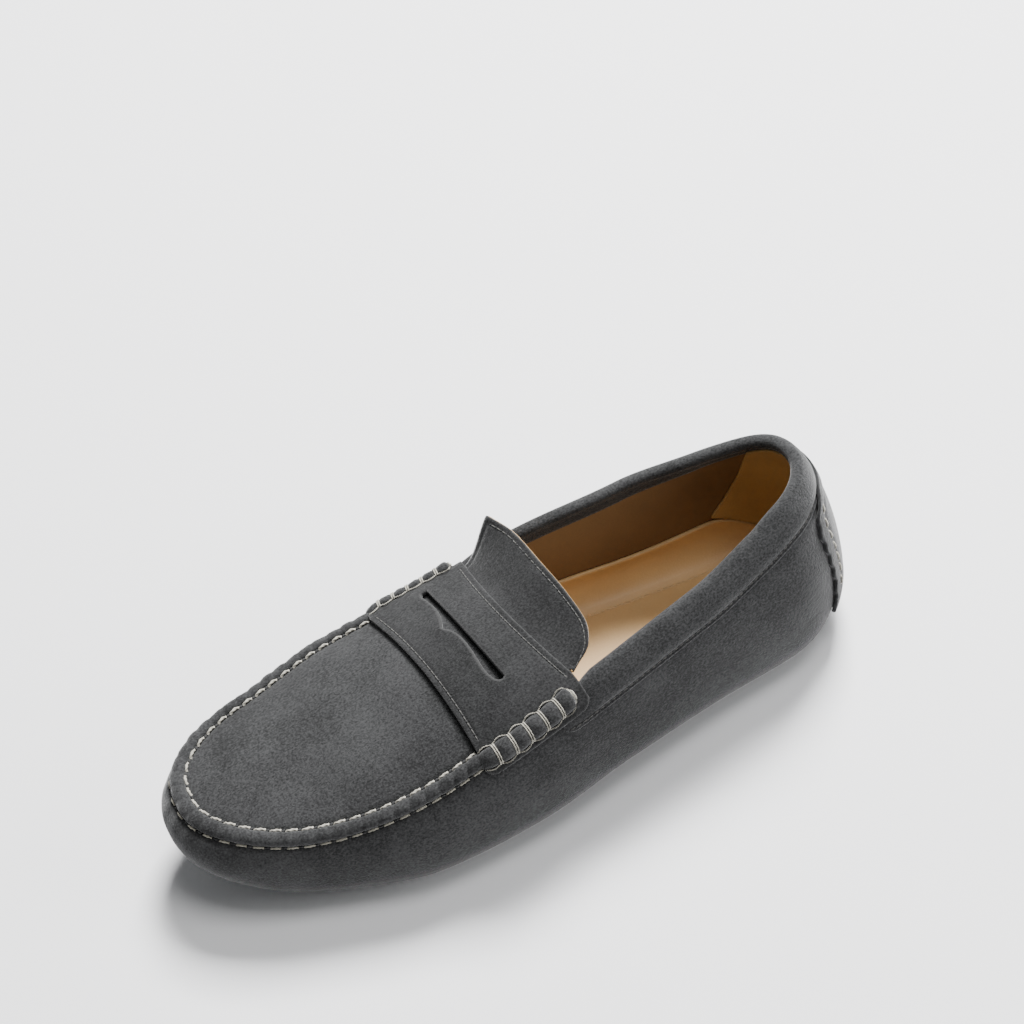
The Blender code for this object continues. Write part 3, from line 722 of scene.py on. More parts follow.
# %% The stitch and the laid thread
def stitch_tree():
    """One bowed stitch on every point, turned to the attributes run and out."""
    group, tree, given = group_tree("Stitch row", (
        ("Length", "Float"), ("Thickness", "Float"), ("Rise", "Float"), ("Sink", "Float"),
        ("Jitter", "Float"), ("Seed", "Int"), ("Thread", "Material")))
    half = given["Length"] * 0.5
    low = given["Sink"] * -1.0
    bow = tree.node("GeometryNodeCurveQuadraticBezier", {}, {
        "Resolution": 8, "Start": tree.vector(X=half * -1.0, Z=low), "End": tree.vector(X=half, Z=low),
        "Middle": tree.vector(Z=given["Rise"] * 2.0 + given["Sink"])})
    one = twisted_tube(tree, bow, given["Thickness"] * 0.5, 7.0, True)
    turn = tree.node("FunctionNodeAlignRotationToVector", {"axis": "X"},
                     {"Vector": tree.named("run", "FLOAT_VECTOR")})
    turn = tree.node("FunctionNodeAlignRotationToVector", {"axis": "Z", "pivot_axis": "X"},
                     {"Rotation": turn, "Vector": tree.named("out", "FLOAT_VECTOR")})
    size = tree.node("FunctionNodeRandomValue", {"data_type": "FLOAT"},
                     {2: 1.0 - given["Jitter"], 3: 1.0 + given["Jitter"], "Seed": given["Seed"]}, 1)
    placed = tree.node("GeometryNodeInstanceOnPoints", {}, {"Points": given["Geometry"], "Instance": one,
                                                            "Rotation": turn, "Scale": size})
    end_tree(tree, placed, given["Thread"])
    return group


def thread_tree():
    """A twisted thread along every chain of edges."""
    group, tree, given = group_tree("Laid thread", (
        ("Thickness", "Float"), ("Step", "Float"), ("Turns", "Float"), ("Thread", "Material")))
    curve = tree.node("GeometryNodeMeshToCurve", {}, {"Mesh": given["Geometry"]})
    curve = tree.node("GeometryNodeResampleCurve", {"mode": "LENGTH"},
                      {"Curve": curve, "Length": given["Step"]})
    end_tree(tree, twisted_tube(tree, curve, given["Thickness"] * 0.5, given["Turns"], False), given["Thread"])
    return group

STITCH_TREE = stitch_tree()
THREAD_TREE = thread_tree()
print("nodes:", len(STITCH_TREE.nodes), "in the stitch,", len(THREAD_TREE.nodes), "in the laid thread")

# %% Trees made into meshes
def bake_tree(seed, group, values):
    """The tree's result as a plain mesh in the seed object's place."""
    modifier = seed.modifiers.new(group.name, "NODES")
    modifier.node_group = group
    for item in group.interface.items_tree:
        if item.in_out == "INPUT" and item.name in values:
            modifier[item.identifier] = values[item.name]
    bpy.context.view_layer.update()
    ready = seed.evaluated_get(bpy.context.evaluated_depsgraph_get())
    mesh = bpy.data.meshes.new_from_object(ready)
    seed.modifiers.remove(modifier)
    made = put(seed.name.replace("_seed", ""), mesh)
    bpy.data.objects.remove(seed, do_unlink=True)
    return made


def stitch_row(name, points, run, out, look, slot, length, thickness, rise=0.0004, sink=0.0003):
    """A row of stitches as one piece."""
    seed = add_piece(name + "_seed", points, marks={"run": run, "out": out})
    made = bake_tree(seed, STITCH_TREE, {"Length": length, "Thickness": thickness, "Rise": rise,
                                         "Sink": sink, "Jitter": 0.05, "Seed": 7, "Thread": look})
    return dress(made, look, slot)


def laid_threads(name, paths, look, thickness, turns):
    """Threads that follow paths, as one piece."""
    count, steps = paths.shape[:2]
    ids = np.arange(count * steps).reshape(count, steps)
    edges = np.stack([ids[:, :-1], ids[:, 1:]], -1).reshape(-1, 2).tolist()
    seed = add_piece(name + "_seed", paths.reshape(-1, 3), edges=edges)
    made = bake_tree(seed, THREAD_TREE, {"Thickness": thickness, "Step": 0.0004, "Turns": turns,
                                         "Thread": look})
    return dress(made, look, "thread")


print("stitch and thread trees ready")

# %% [markdown]
# The wall is one soft piece from the sewn edge down and under the foot. It is a shell with a
# real thickness. Under the hand-sewn seam the suede is gathered, so small pleats run down from
# the stitches and fade out, and a few soft hollows stand where the foot flexes.

# %% The wall
WALL_STATIONS = 640
SKIN = 0.0002
HOLLOWS = (
    (1.30, 0.024, 0.22, 0.008, -0.0007), (1.02, 0.020, 0.16, 0.007, 0.0004),
    (1.72, 0.017, 0.20, 0.006, -0.0004), (5.05, 0.022, 0.20, 0.008, -0.0006),
    (2.45, 0.016, 0.14, 0.006, -0.0003), (3.75, 0.016, 0.16, 0.006, -0.0003),
    (0.55, 0.034, 0.20, 0.010, 0.0005),
)


def seam_phase(phi):
    """Which stitch a station lies at, in stitches from the lateral end."""
    turned = np.where(phi < 0, phi + 2 * math.pi, phi)
    return np.interp(turned, seam_line, np.arange(len(seam_line)) + 0.5)


def seam_front(phi):
    """1 in front of the strap, 0 behind its front edge."""
    turned = np.mod(phi, 2 * math.pi)
    return ease((turned - SEAM_START) / 0.05) * ease((SEAM_STOP - turned) / 0.05)


def wall_lift(phi, depth):
    """Relief of the suede over the plain wall."""
    front = seam_front(phi)[:, None]
    phase = seam_phase(np.mod(phi, 2 * math.pi))[:, None]
    pleat = np.cos(2 * math.pi * phase) * np.exp(-np.maximum(depth - 0.0034, 0) / 0.0045)
    lift = front * (-0.00028 * pleat * ease(depth / 0.003) - 0.0006 * hump(depth - 0.0036, 0.0011))
    turned = np.mod(phi, 2 * math.pi)[:, None]
    for at, down, wide, tall, rise in HOLLOWS:
        lift = lift + rise * hump(turned - at, wide) * hump(depth - down, tall)
    return lift


phi = full_turn(WALL_STATIONS)
deepest = wall_depths(phi)[:, -1:]
near = np.arange(0, 0.0066, 0.00045)[None]
far = near[:, -1:] + (deepest - near[:, -1:]) * np.linspace(0, 1, 33)[None, 1:]
depth = np.concatenate([np.broadcast_to(near, (len(phi), near.shape[1])), far], axis=1)
points, _, out = inner_frame(phi, depth)
out[:, -1] = (0.0, 0.0, -1.0)
outer = points + out * wall_lift(phi, depth)[..., None]
inner = points - out * (WALL - SKIN)
for share in (0.5, 1.0):
    plan = points[:, -1, :2] + inward(phi) * FLANGE * share
    low = np.concatenate([plan, floor_line(plan[:, 1])[:, None]], axis=1)[:, None]
    outer = np.concatenate([outer, low], axis=1)
    inner = np.concatenate([inner, low + (0, 0, WALL - SKIN)], axis=1)
wall = shell("wall", outer, inner)
dress(wall, SUEDE, "suede", "upper")

# %% [markdown]
# The plug closes the top of the foot. It is a cut piece that lies on the crowned surface between
# the two sides and dips where the hand stitches pull it down.

# %% The plug
def apron_place(flat):
    """The plug's surface and its direction up."""
    x, y = flat[:, 0], flat[:, 1]
    across = apron(x + REACH_STEP, y) - apron(x - REACH_STEP, y)
    along = apron(x, y + REACH_STEP) - apron(x, y - REACH_STEP)
    return apron(x, y), unit(np.cross(across, along))


def plug_lift(flat, distance):
    """Thickness of the plug, with the dip along its edge and two soft folds behind the toes."""
    dip = -0.0007 * hump(distance, 0.0011)
    folds = -0.0004 * hump(flat[:, 1] + 0.052 + 0.15 * np.abs(flat[:, 0]), 0.006)
    folds = folds + 0.0004 * hump(flat[:, 1] + 0.066 + 0.12 * np.abs(flat[:, 0]), 0.008)
    return SKIN - WALL, dip + folds * ease(distance / 0.012)


throat_out = station_of(THROAT_SHARE, 1)
throat_in = 2 * math.pi + station_of(THROAT_SHARE, -1)
ring_phi = np.linspace(throat_out, throat_in, 500)
plug_edge = base_grid(ring_phi, np.full((500, 1), 0.0020))[:, 0, :2]
plug = cut_piece("plug", [plug_edge], apron_place, plug_lift, 0.0010)
dress(plug, SUEDE, "suede")

# %% [markdown]
# The hand-sewn seam stands up as a rope of gathered suede between two rows of stitches. Each
# stitch pinches it a little, more strongly towards the strap, so the rope is a loft whose height
# follows the stitches.

# %% The raised seam
ROPE_RISE = 0.0024
ROPE_FOOT = 0.0011
ROPE_AROUND = 26
ROPE_STEPS_A_STITCH = 14


def rope_span(phi):
    """Middle reach and half width of the seam: narrow by the strap's lateral end, wider past the toe."""
    wide = ease((phi - 2.3) / 0.7)
    return -0.0009 + 0.0006 * wide, 0.0026 + 0.0004 * wide


def rope(phi):
    """Rings of the raised seam at stations."""
    phase = seam_phase(phi)[:, None]
    turn = full_turn(ROPE_AROUND)[None]
    pull = 0.11 + 0.24 * np.exp(-np.maximum(phi - SEAM_START, 0) / 0.45)[:, None]
    slanted = phase + 0.10 * np.cos(turn)
    pinch = hump(slanted - np.round(slanted), 0.17)
    wander = 0.00012 * np.sin(phase * 2.1) + 0.00010 * np.sin(phase * 5.3 + turn * 2)
    middle, half = rope_span(phi)
    reach = middle[:, None] + (half[:, None] - 0.0008 * pull * pinch) * np.cos(turn)
    over = np.maximum(np.sin(turn), 0.0)
    rise = ROPE_RISE * (1 - pull * pinch) * over ** 0.8 + ROPE_FOOT * np.minimum(np.sin(turn), 0.0)
    points, _, out = skin_frame(phi, reach)
    return points + out * (rise + wander * over)[..., None]


rope_phi = np.interp(np.linspace(0, len(seam_line), len(seam_line) * ROPE_STEPS_A_STITCH + 1),
                     np.arange(len(seam_line)) + 0.5, seam_line)
rope_phi = np.concatenate([np.linspace(SEAM_START - 0.05, seam_line[0], 12)[:-1], np.unique(rope_phi),
                           np.linspace(seam_line[-1], SEAM_STOP + 0.05, 12)[1:]])
seam = loft("raised_seam", rope(rope_phi))
dress(seam, SUEDE, "suede")

seam_gaps = (seam_line[1:] + seam_line[:-1]) / 2
for row_name, spots, place, look, share, size, lift, slope in (
        ("seam_stitches_inner", seam_line, 0.0003, THREAD, 0.68, 0.00125, 0.00035, 0.10),
        # The rows of holes are near-black marks: painted shade of the stitch holes.
        ("seam_holes_inner", seam_gaps, 0.0003, HOLE_SHADE, 0.26, 0.0012, -0.0002, 0.0),
        # The outer row takes the darker copy of the cream thread: painted shade.
        ("seam_stitches_outer", seam_line, -0.0004, THREAD_SHADED, 0.62, 0.00095, 0.0003, 0.0),
        ("seam_holes_outer", seam_gaps, -0.0003, HOLE_SHADE, 0.24, 0.0010, -0.0003, 0.0)):
    middle, half = rope_span(spots)
    reach = middle + math.copysign(1, place) * half + place
    points, run, out = (grid[:, 0] for grid in skin_frame(spots, reach[:, None]))
    stitch_row(row_name, points + out * lift, unit(run + slope * np.cross(out, run)), out, look, "thread",
               STITCH_PITCH * share, size, 0.0003, 0.0004)

# %% [markdown]
# The strap lies over the plug and both sewn edges. Its slot is cut out, its two long edges are
# stitched, and its ends hang a little down the wall. A map from flat leather to the form keeps
# every distance on the pattern true.

# %% A form for flat leather
class Form:
    """A grid of points as a form for cut pieces: flat places in metres, from the grid's middle."""

    def __init__(self, grid):
        self.grid = np.asarray(grid)
        self.u = lengths(self.grid[len(self.grid) // 2])
        self.u -= self.u[-1] / 2
        self.width = np.linalg.norm(np.diff(self.grid, axis=0), axis=2).sum(axis=0)
        self.out = unit(np.cross(np.gradient(self.grid, axis=1), np.gradient(self.grid, axis=0)))

    def half(self, across):
        """Half the form's width along, at places across it."""
        return np.interp(across, self.u, self.width) / 2

    def place(self, flat):
        """Points and directions out at flat places (across, along)."""
        rows, columns = self.grid.shape[:2]
        c = np.interp(flat[:, 0], self.u, np.arange(columns))
        r = np.clip(flat[:, 1] / self.half(flat[:, 0]) / 2 + 0.5, 0, 1) * (rows - 1)
        c0, r0 = np.clip(c.astype(int), 0, columns - 2), np.clip(r.astype(int), 0, rows - 2)
        fc, fr = (c - c0)[:, None], (r - r0)[:, None]

        def read(field):
            return ((field[r0, c0] * (1 - fc) + field[r0, c0 + 1] * fc) * (1 - fr)
                    + (field[r0 + 1, c0] * (1 - fc) + field[r0 + 1, c0 + 1] * fc) * fr)

        return read(self.grid), unit(read(self.out))


print("form ready")

# %% The strap's ends and its line
STRAP_WALL = 0.0015
STRAP_DROP = 0.0078
STRAP_BEND = 0.0044
STRAP_GROOVE = 0.0023
STRAP_CORNER = 0.0045


def strap_angles(v):
    """Stations of the strap's two ends: v is 0 at its front edge and 1 at its rear edge."""
    out = STRAP_FRONT_OUT + (STRAP_REAR_OUT - STRAP_FRONT_OUT) * v
    inn = STRAP_FRONT_IN + (STRAP_REAR_IN - STRAP_FRONT_IN) * v
    return station_of(out, 1), station_of(inn, -1)


def strap_line(v):
    """Points across the strap, medial end first."""
    reach = np.linspace(-STRAP_DROP, STRAP_BEND, 26)
    lateral, medial = (skin(np.array([phi]), reach[None])[0] for phi in strap_angles(v))
    start, stop = medial[-1], lateral[-1]
    bow = STRAP_FRONT_BOW + (STRAP_REAR_BOW - STRAP_FRONT_BOW) * v
    f = np.linspace(0, 1, 60)[1:-1]
    plan = start[:2] + (stop - start)[:2] * f[:, None]
    middle = apron(plan[:, 0], plan[:, 1] + bow * 4 * f * (1 - f))
    return np.concatenate([medial, middle, lateral[::-1]])


strap_form = Form([strap_line(v) for v in np.linspace(0, 1, 40)])
half_strap = strap_form.u[-1]
print("strap", round(half_strap * 2000, 1), "mm across,", round(strap_form.width.mean() * 1000, 1), "mm wide")

# %% Outline and slot
def rounded_band(form, right_corner, left_corner, margin=0.0):
    """Outline of a form's whole band, with its corners round."""
    right = form.u[-1]
    across = np.linspace(left_corner - right, right - right_corner, 120)
    side = np.stack([across, form.half(across) - margin], -1)
    turn = np.linspace(0, math.pi / 2, 8)
    corners = []
    for sign, bend in ((1, right_corner), (-1, left_corner)):
        half = form.half(sign * right) - margin
        corners.append(np.stack([sign * (right - bend * (1 - np.sin(turn))),
                                 half - bend * (1 - np.cos(turn))], -1))
    under = np.array((1, -1))
    return np.concatenate([side * under, corners[0] * under, corners[0][::-1], side[::-1], corners[1],
                           (corners[1] * under)[::-1]])


SLOT_LENGTH = 0.0560
SLOT_DEPTH = 0.0064
SLOT_FRONT = np.array((
    (0.000, 0.00), (0.000, 0.42), (0.020, 0.56), (0.060, 0.60), (0.110, 0.54), (0.180, 0.48),
    (0.250, 0.50), (0.310, 0.60), (0.360, 0.76), (0.395, 0.90), (0.420, 1.00), (0.440, 0.92),
    (0.465, 0.76), (0.500, 0.62), (0.550, 0.54), (0.620, 0.52), (0.700, 0.58), (0.780, 0.68),
    (0.850, 0.76), (0.910, 0.76), (0.960, 0.66), (0.990, 0.46), (1.000, 0.20), (0.985, 0.00),
))
SLOT_PLACE = (-0.0056, 0.0032)
slot_loop = np.stack([(SLOT_FRONT[:, 0] - 0.5) * SLOT_LENGTH + SLOT_PLACE[0],
                      SLOT_PLACE[1] - SLOT_FRONT[:, 1] * SLOT_DEPTH], -1)
print("slot", round(SLOT_LENGTH * 1000, 1), "mm long")

# %% The strap
def strap_lift(flat, distance):
    """Thickness of the strap, with the stitched groove and the lips of the slot."""
    from_side = strap_form.half(flat[:, 0]) - np.abs(flat[:, 1])
    inside_rolls = ease((half_strap - 0.0115 - np.abs(flat[:, 0])) / 0.003)
    groove = 0.00045 * hump(from_side - STRAP_GROOVE, 0.0007) * inside_rolls
    lips = 0.0005 * hump(edge_distance(flat, [slot_loop]) - 0.001, 0.0028)
    swell = 0.0003 * hump(flat[:, 1], 0.012)
    return 0.00015 + lips * 0.6, STRAP_WALL + GAP - groove + lips + swell


strap = cut_piece("strap", [rounded_band(strap_form, STRAP_CORNER, STRAP_CORNER), slot_loop],
                  strap_form.place, strap_lift, 0.0006)
dress(strap, SUEDE_PAINTED_SHADE, "suede", "saddle_strap")

# %% Its stitched edges
def row_on(place, flat, lift):
    """Points, runs and directions out for stitches along flat places."""
    points, out = place(flat)
    return points + out * lift, unit(np.gradient(points, axis=0)), out


MACHINE_THREAD = 0.00055


def stitched_line(name, form, flat, lift, pitch):
    """Small machine stitches, with a near-black mark between each pair as painted shade of the stitch hole."""
    total = lengths(flat)[-1]
    count = round(total / pitch)
    holes = np.arange(count + 1) / count * total
    for row_name, spots, low, look, share, thickness in (
            (name, even_spots(total, pitch), 0.0, THREAD_GREY, 0.72, MACHINE_THREAD),
            (name + "_holes", holes, 0.00012, HOLE_SHADE, 0.33, MACHINE_THREAD * 1.55)):
        stitch_row(row_name, *row_on(form.place, at_lengths(flat, spots), lift - low), look, "thread",
                   pitch * share, thickness, 0.0001, 0.0002)


for edge_name, sign in (("front", -1), ("rear", 1)):
    across = np.linspace(-half_strap + 0.0120, half_strap - (0.0125 if sign < 0 else 0.0115), 90)
    flat = np.stack([across, sign * (strap_form.half(across) - STRAP_GROOVE)], -1)
    stitched_line(f"strap_{edge_name}_stitches", strap_form, flat, STRAP_WALL + GAP - 0.00030, 0.0027)

# %% [markdown]
# Each end of the strap is gathered into a roll, bound with thread: the suede swells between the
# bindings like a row of small barrels. A loft gives the barrels, and laid threads cross each
# valley twice and curve round the barrels' feet.

# %% The gathered rolls
ROLL_RISE = 0.0033
ROLL_HALF = 0.0034
ROLL_FOOT = 0.0016
ROLL_THREAD = 0.00078
ROLL_BULGES = 6
ROLL_REAR = 0.89
ROLL_AROUND = 30
ROLL_STEPS = 18
STRAP_TOP = GAP + STRAP_WALL
ROLL_MIDDLE = np.array((
    (0.00, -0.0012), (0.17, -0.0021), (0.33, -0.0025), (0.50, -0.0026), (0.67, -0.0027), (0.83, -0.0024),
    (1.00, -0.0016),
))


def roll_station(side, f):
    """Station along the strap's end: f is 0 at the rear and 1 at the front."""
    start, stop = (strap_angles(v)[(1 - side) // 2] for v in (ROLL_REAR, -0.02))
    return start + (stop - start) * f


def roll_surface(side, f, turn, grow=0.0):
    """Points of a roll: f along it, turn round its section, grow off its surface."""
    bulge = np.abs(np.sin(math.pi * ROLL_BULGES * np.clip(f, 0, 1)))
    full = 1 - (0.44 if side == 1 else 0.26) * (1 - bulge ** 0.6)
    shrink = np.minimum(1.0, 0.55 + 14 * f) * np.minimum(1.0, 0.80 + 1.2 * (1 - f))
    over = np.maximum(np.sin(turn), 0.0)
    fold = 0.00010 * np.sin(turn * 9 + f * 61) * bulge
    across = (ROLL_HALF * (0.88 + 0.12 * bulge) * shrink + grow) * np.cos(turn)
    lift = np.where(np.sin(turn) > 0, (ROLL_RISE * full * shrink + fold + grow) * over ** 0.75,
                    ROLL_FOOT * np.sin(turn))
    reach = np.interp(f, ROLL_MIDDLE[:, 0], ROLL_MIDDLE[:, 1]) + across
    bowed = np.clip(f - 0.014 * over, -0.02, 1)
    lift = STRAP_TOP * np.minimum(1.0, 0.45 + 3.5 * (1 - f)) + lift
    points, _, out = skin_frame(roll_station(side, bowed).ravel(), reach.reshape(-1, 1))
    return (points + out * lift.reshape(-1, 1, 1)).reshape(*reach.shape, 3)


for side, side_name in ((1, "lateral"), (-1, "medial")):
    along, turn = np.meshgrid(np.linspace(0, 1, ROLL_BULGES * ROLL_STEPS + 1), full_turn(ROLL_AROUND),
                              indexing="ij")
    roll = loft(f"roll_{side_name}", roll_surface(side, along, turn))
    dress(roll, SUEDE, "suede", f"beefroll_{side_name}")
    paths = []
    share = np.linspace(0, 1, 24)
    for k in range(ROLL_BULGES):
        for offset in (-0.0100, 0.0100):
            paths.append((np.full(24, k / ROLL_BULGES + offset), (0.03 + 0.94 * share) * math.pi,
                          np.full(24, 0.0002)))
    for k in range(ROLL_BULGES):
        for foot in (0.04, 0.96):
            paths.append(((k + 0.08 + 0.84 * share) / ROLL_BULGES, np.full(24, foot * math.pi),
                          0.0002 + 0.0005 * np.sin(math.pi * share)))
    along, turn, grow = (np.concatenate(column)[:, None] for column in zip(*paths))
    laid = roll_surface(side, along, turn, grow)[:, 0].reshape(len(paths), 24, 3)
    laid_threads(f"roll_{side_name}_threads", laid, THREAD, ROLL_THREAD, 60.0)

# %% [markdown]
# The tongue comes out from under the strap and stands up to a free, rounded rim. It is suede on
# top and tan leather below, and the leather shows as a fine line along the rim.

# %% The tongue
TONGUE_RIM = np.array((
    (-0.468, 0.066, 0.905), (-0.320, 0.083, 0.922), (-0.110, 0.091, 0.927), (0.045, 0.098, 0.902),
    (0.155, 0.101, 0.862), (0.236, 0.091, 0.816), (0.296, 0.056, 0.752),
))
TONGUE_SHARE = 0.85
TONGUE_GROOVE = 0.0021
TONGUE_CORNERS = (0.0022, 0.0008)


def tongue_grid():
    """Points of the tongue, rows from under the strap to the rim, medial end first."""
    throat = [wall_profile(np.array([station_of(THROAT_SHARE, side)]), np.ones((1, 1)))[0, 0, 1]
              for side in (1, -1)]
    lateral_rear, medial_rear = (SHOE_LENGTH * (0.5 - share) for share in (STRAP_REAR_OUT, STRAP_REAR_IN))
    across = np.linspace(-1, 1, len(TONGUE_RIM))
    columns = []
    for u in np.linspace(-1, 1, 61):
        rear = (lateral_rear * (1 + u) + medial_rear * (1 - u)) / 2 + STRAP_REAR_BOW * (1 - u * u) - 0.001
        front = (throat[0] * (1 + u) + throat[1] * (1 - u)) / 2 - 0.0030
        y = front + (rear - front) * np.linspace(0, 1, 16)
        lateral, medial = crest_at(1, y, 0), crest_at(-1, y, 0)
        wide = TONGUE_SHARE + 0.05 * (1 - u)
        level = apron((lateral + medial) / 2 + wide * u * (lateral - medial) / 2, y)
        level[:, 2] -= 0.0025 * ease(1 - (y - front) / 0.0065)
        rim = np.array([smooth_curve(across, TONGUE_RIM[:, axis], np.array(u)) for axis in range(3)])
        rim = rim * np.array([BALL_WIDTH, SHOE_LENGTH, HEEL_HEIGHT])
        run = float(np.linalg.norm(rim - level[-1]))
        leave = unit(level[-1] - level[-2]) * run * 0.8
        arrive = (rim - level[-1]) * 1.1
        f = np.linspace(0, 1, 26)[1:, None]
        g = 1 - f
        free = (level[-1] * (1 + 2 * f) * g * g + rim * f * f * (3 - 2 * f)
                + leave * f * g * g - arrive * f * f * g)
        columns.append(np.concatenate([level, free]))
    return np.array(columns).transpose(1, 0, 2)


tongue_form = Form(tongue_grid())
half_tongue = tongue_form.u[-1]


def tongue_lift(low, high):
    """Thickness of one layer of the tongue, with the stitched groove near its rim."""
    def lift(flat, distance):
        free = ease((flat[:, 1] + tongue_form.half(flat[:, 0]) - 0.012) / 0.004)
        return low, high - 0.00035 * hump(distance - TONGUE_GROOVE, 0.0006) * free * (high > -0.001)
    return lift


for name, margin, low, high, spacing, look, slot, nodes in (
        ("tongue_suede", 0.0, -0.0012, 0.0, 0.0008, SUEDE_PAINTED_SHADE, "suede", ("tongue",)),
        ("tongue_lining", -0.0002, -0.0019, -0.00125, 0.0012, SOCK, "lining", ())):
    edge = rounded_band(tongue_form, *TONGUE_CORNERS, margin)
    layer = cut_piece(name, [edge], tongue_form.place, tongue_lift(low, high), spacing)
    dress(layer, look, slot, *nodes)

across = np.linspace(-half_tongue + 0.0035, half_tongue - 0.0015, 60)
flat = np.stack([across, tongue_form.half(across) - TONGUE_GROOVE], -1)
stitched_line("tongue_stitches", tongue_form, flat, -0.0003, 0.0026)

# %% [markdown]
# The collar band is a soft strip folded over the wall's top and sewn down near its lower edge.
# Its section is a closed loop: up the outside, round the top, down the inside.

# %% The collar band
BAND_FRONT = np.array((
    (0.0136, 0.00010), (0.0134, 0.00055), (0.0130, 0.00080), (0.0126, 0.00070), (0.0123, 0.00035),
    (0.0119, 0.00030), (0.0115, 0.00065), (0.0108, 0.00115), (0.0096, 0.00160), (0.0080, 0.00190),
    (0.0062, 0.00200), (0.0045, 0.00195), (0.0030, 0.00185), (0.0015, 0.00175),
))
BAND_ROLL = np.linspace(0, math.pi, 13)
BAND_BACK = np.array(((0.0015, 0.0010), (0.0030, 0.0010), (0.0045, 0.0009), (0.0056, 0.0008), (0.0060, 0.0004)))
BAND_END = np.array((
    (-0.020, 1.00, 1.00), (-0.008, 1.00, 0.80), (0.006, 1.00, 0.42), (0.021, 1.00, 0.36),
    (0.032, 0.98, 0.34), (0.038, 0.95, 0.32), (0.045, 0.83, 0.30), (0.049, 0.74, 0.28),
    (0.056, 0.46, 0.20),
))


def band_share(phi, column):
    """Share of its full depth (1) or thickness (2) that the band keeps as it runs under the strap."""
    past = share_of(phi) - np.where(phi >= 0, STRAP_REAR_OUT, STRAP_REAR_IN)
    return np.interp(past, BAND_END[:, 0], BAND_END[:, column])


def band_rings(phi):
    """Closed sections of the collar band at stations."""
    full = band_share(phi, 2)[:, None, None]
    points, _, out = inner_frame(phi, np.outer(band_share(phi, 1), BAND_FRONT[:, 0]))
    rows = [points + out * full * (GAP * 0.3 + BAND_FRONT[:, 1])[None, :, None]]
    crest, _, side = inner_frame(phi, np.zeros((len(phi), 1)))
    up = unit(crest - wall_grid(phi, np.full((len(phi), 1), 0.001)))
    side = unit(side - up * np.sum(side * up, axis=-1, keepdims=True))
    middle = crest - side * WALL / 2
    wide = WALL / 2 + (GAP + BINDING_WALL) * full
    turn = BAND_ROLL[None, :, None]
    rows.append(middle + side * wide * np.cos(turn) + up * full * (wide * 0.92 * np.sin(turn) - 0.0004))
    points, _, out = inner_frame(phi, np.outer(np.ones(len(phi)), BAND_BACK[:, 0]))
    rows.append(points - out * (WALL + BAND_BACK[:, 1] * full[..., 0])[..., None])
    for depth_back, share in ((0.0058, 0.6), (0.0134, 0.3)):
        points, _, out = inner_frame(phi, depth_back * band_share(phi, 1)[:, None])
        rows.append(points - out * WALL * share)
    return np.concatenate(rows, axis=1)


def band_run(past, many):
    """Stations of the band, which ends past the strap's rear edge by a share of the length."""
    return np.linspace(station_of(STRAP_REAR_IN + past, -1), station_of(STRAP_REAR_OUT + past, 1), many)


BAND_SEAM_DEPTH = 0.0121
MACHINE_PITCH = 0.0026


def band_seam(phi):
    """Depths of the band's stitched line."""
    return BAND_SEAM_DEPTH * band_share(phi, 1)[:, None]


band = loft("collar_band", band_rings(band_run(0.054, 560)))
dress(band, SUEDE, "suede", "collar_binding")

fine = band_run(0.040, 601)
run_length = lengths(wall_grid(fine, band_seam(fine))[:, 0])
for row_name, look, shift, share, size, lift in (
        ("collar_stitches", THREAD_GREY, 0.5, 0.68, MACHINE_THREAD, 0.00040),
        # The row of holes is near-black marks: painted shade of the stitch holes.
        ("collar_stitch_holes", HOLE_SHADE, 0.0, 0.34, 0.00085, 0.00028)):
    spots = np.interp(even_spots(run_length[-1], MACHINE_PITCH, shift), run_length, fine)
    points, run, out = (grid[:, 0] for grid in inner_frame(spots, band_seam(spots)))
    lift = lift * (0.4 + 0.6 * band_share(spots, 2)[:, None])
    stitch_row(row_name, points + out * lift, run, out, look, "thread",
               MACHINE_PITCH * share, size, 0.0001, 0.0002)

# %% [markdown]
# A patch covers the back seam of the heel. Its edge is cut in soft waves and it is sewn on by
# hand with the same cream thread.

# %% The heel tab
BINDING_DEPTH = 0.0135
TAB_WALL = 0.0016
TAB_TOP = 0.0080
TAB_END = 0.27
TAB_STEP = 0.0036
TAB_ROWS = np.array((
    (0.00, 0.30), (0.04, 0.46), (0.12, 0.74), (0.28, 0.91), (0.48, 0.93), (0.67, 0.94), (0.85, 1.00),
    (1.00, 1.14),
))
heel_phi = np.linspace(0, math.pi / 2, 181)
heel_run = lengths(outline(heel_phi))
heel_half = BALL_WIDTH * SECTIONS[0][1]
TAB_DEPTH = float(np.interp(TAB_END, -PROFILE, wall_depths(np.zeros(1))[0])) - TAB_TOP
TAB_SEAM = 0.0058
TAB_PITCH = 0.0056


def heel_place(flat, top=0.0):
    """Points and directions out of the wall, at flat places round the heel and down from a level."""
    phi = np.sign(flat[:, 0]) * np.interp(np.abs(flat[:, 0]), heel_run, heel_phi)
    points, _, out = inner_frame(phi, (top - flat[:, 1])[:, None])
    return points[:, 0], out[:, 0]


def tab_half(level):
    """Half the tab's width at a level below its top."""
    return heel_half * smooth_curve(TAB_ROWS[:, 0], TAB_ROWS[:, 1], np.clip(level / TAB_DEPTH, 0, 1))


def tab_place(flat):
    """Points for the tab, whose flat places count from its top."""
    return heel_place(flat, TAB_TOP)


def tab_lift(flat, distance):
    """Thickness of the tab, over the band at its top and on the wall below."""
    past_band = ease((TAB_TOP - flat[:, 1] - BINDING_DEPTH) / TAB_STEP)
    low = (GAP + BINDING_WALL) * (1 - past_band) + GAP * past_band
    groove = 0.0003 * hump(distance - TAB_SEAM, 0.0012)
    return low, low + TAB_WALL * (0.70 + 0.30 * past_band) - groove


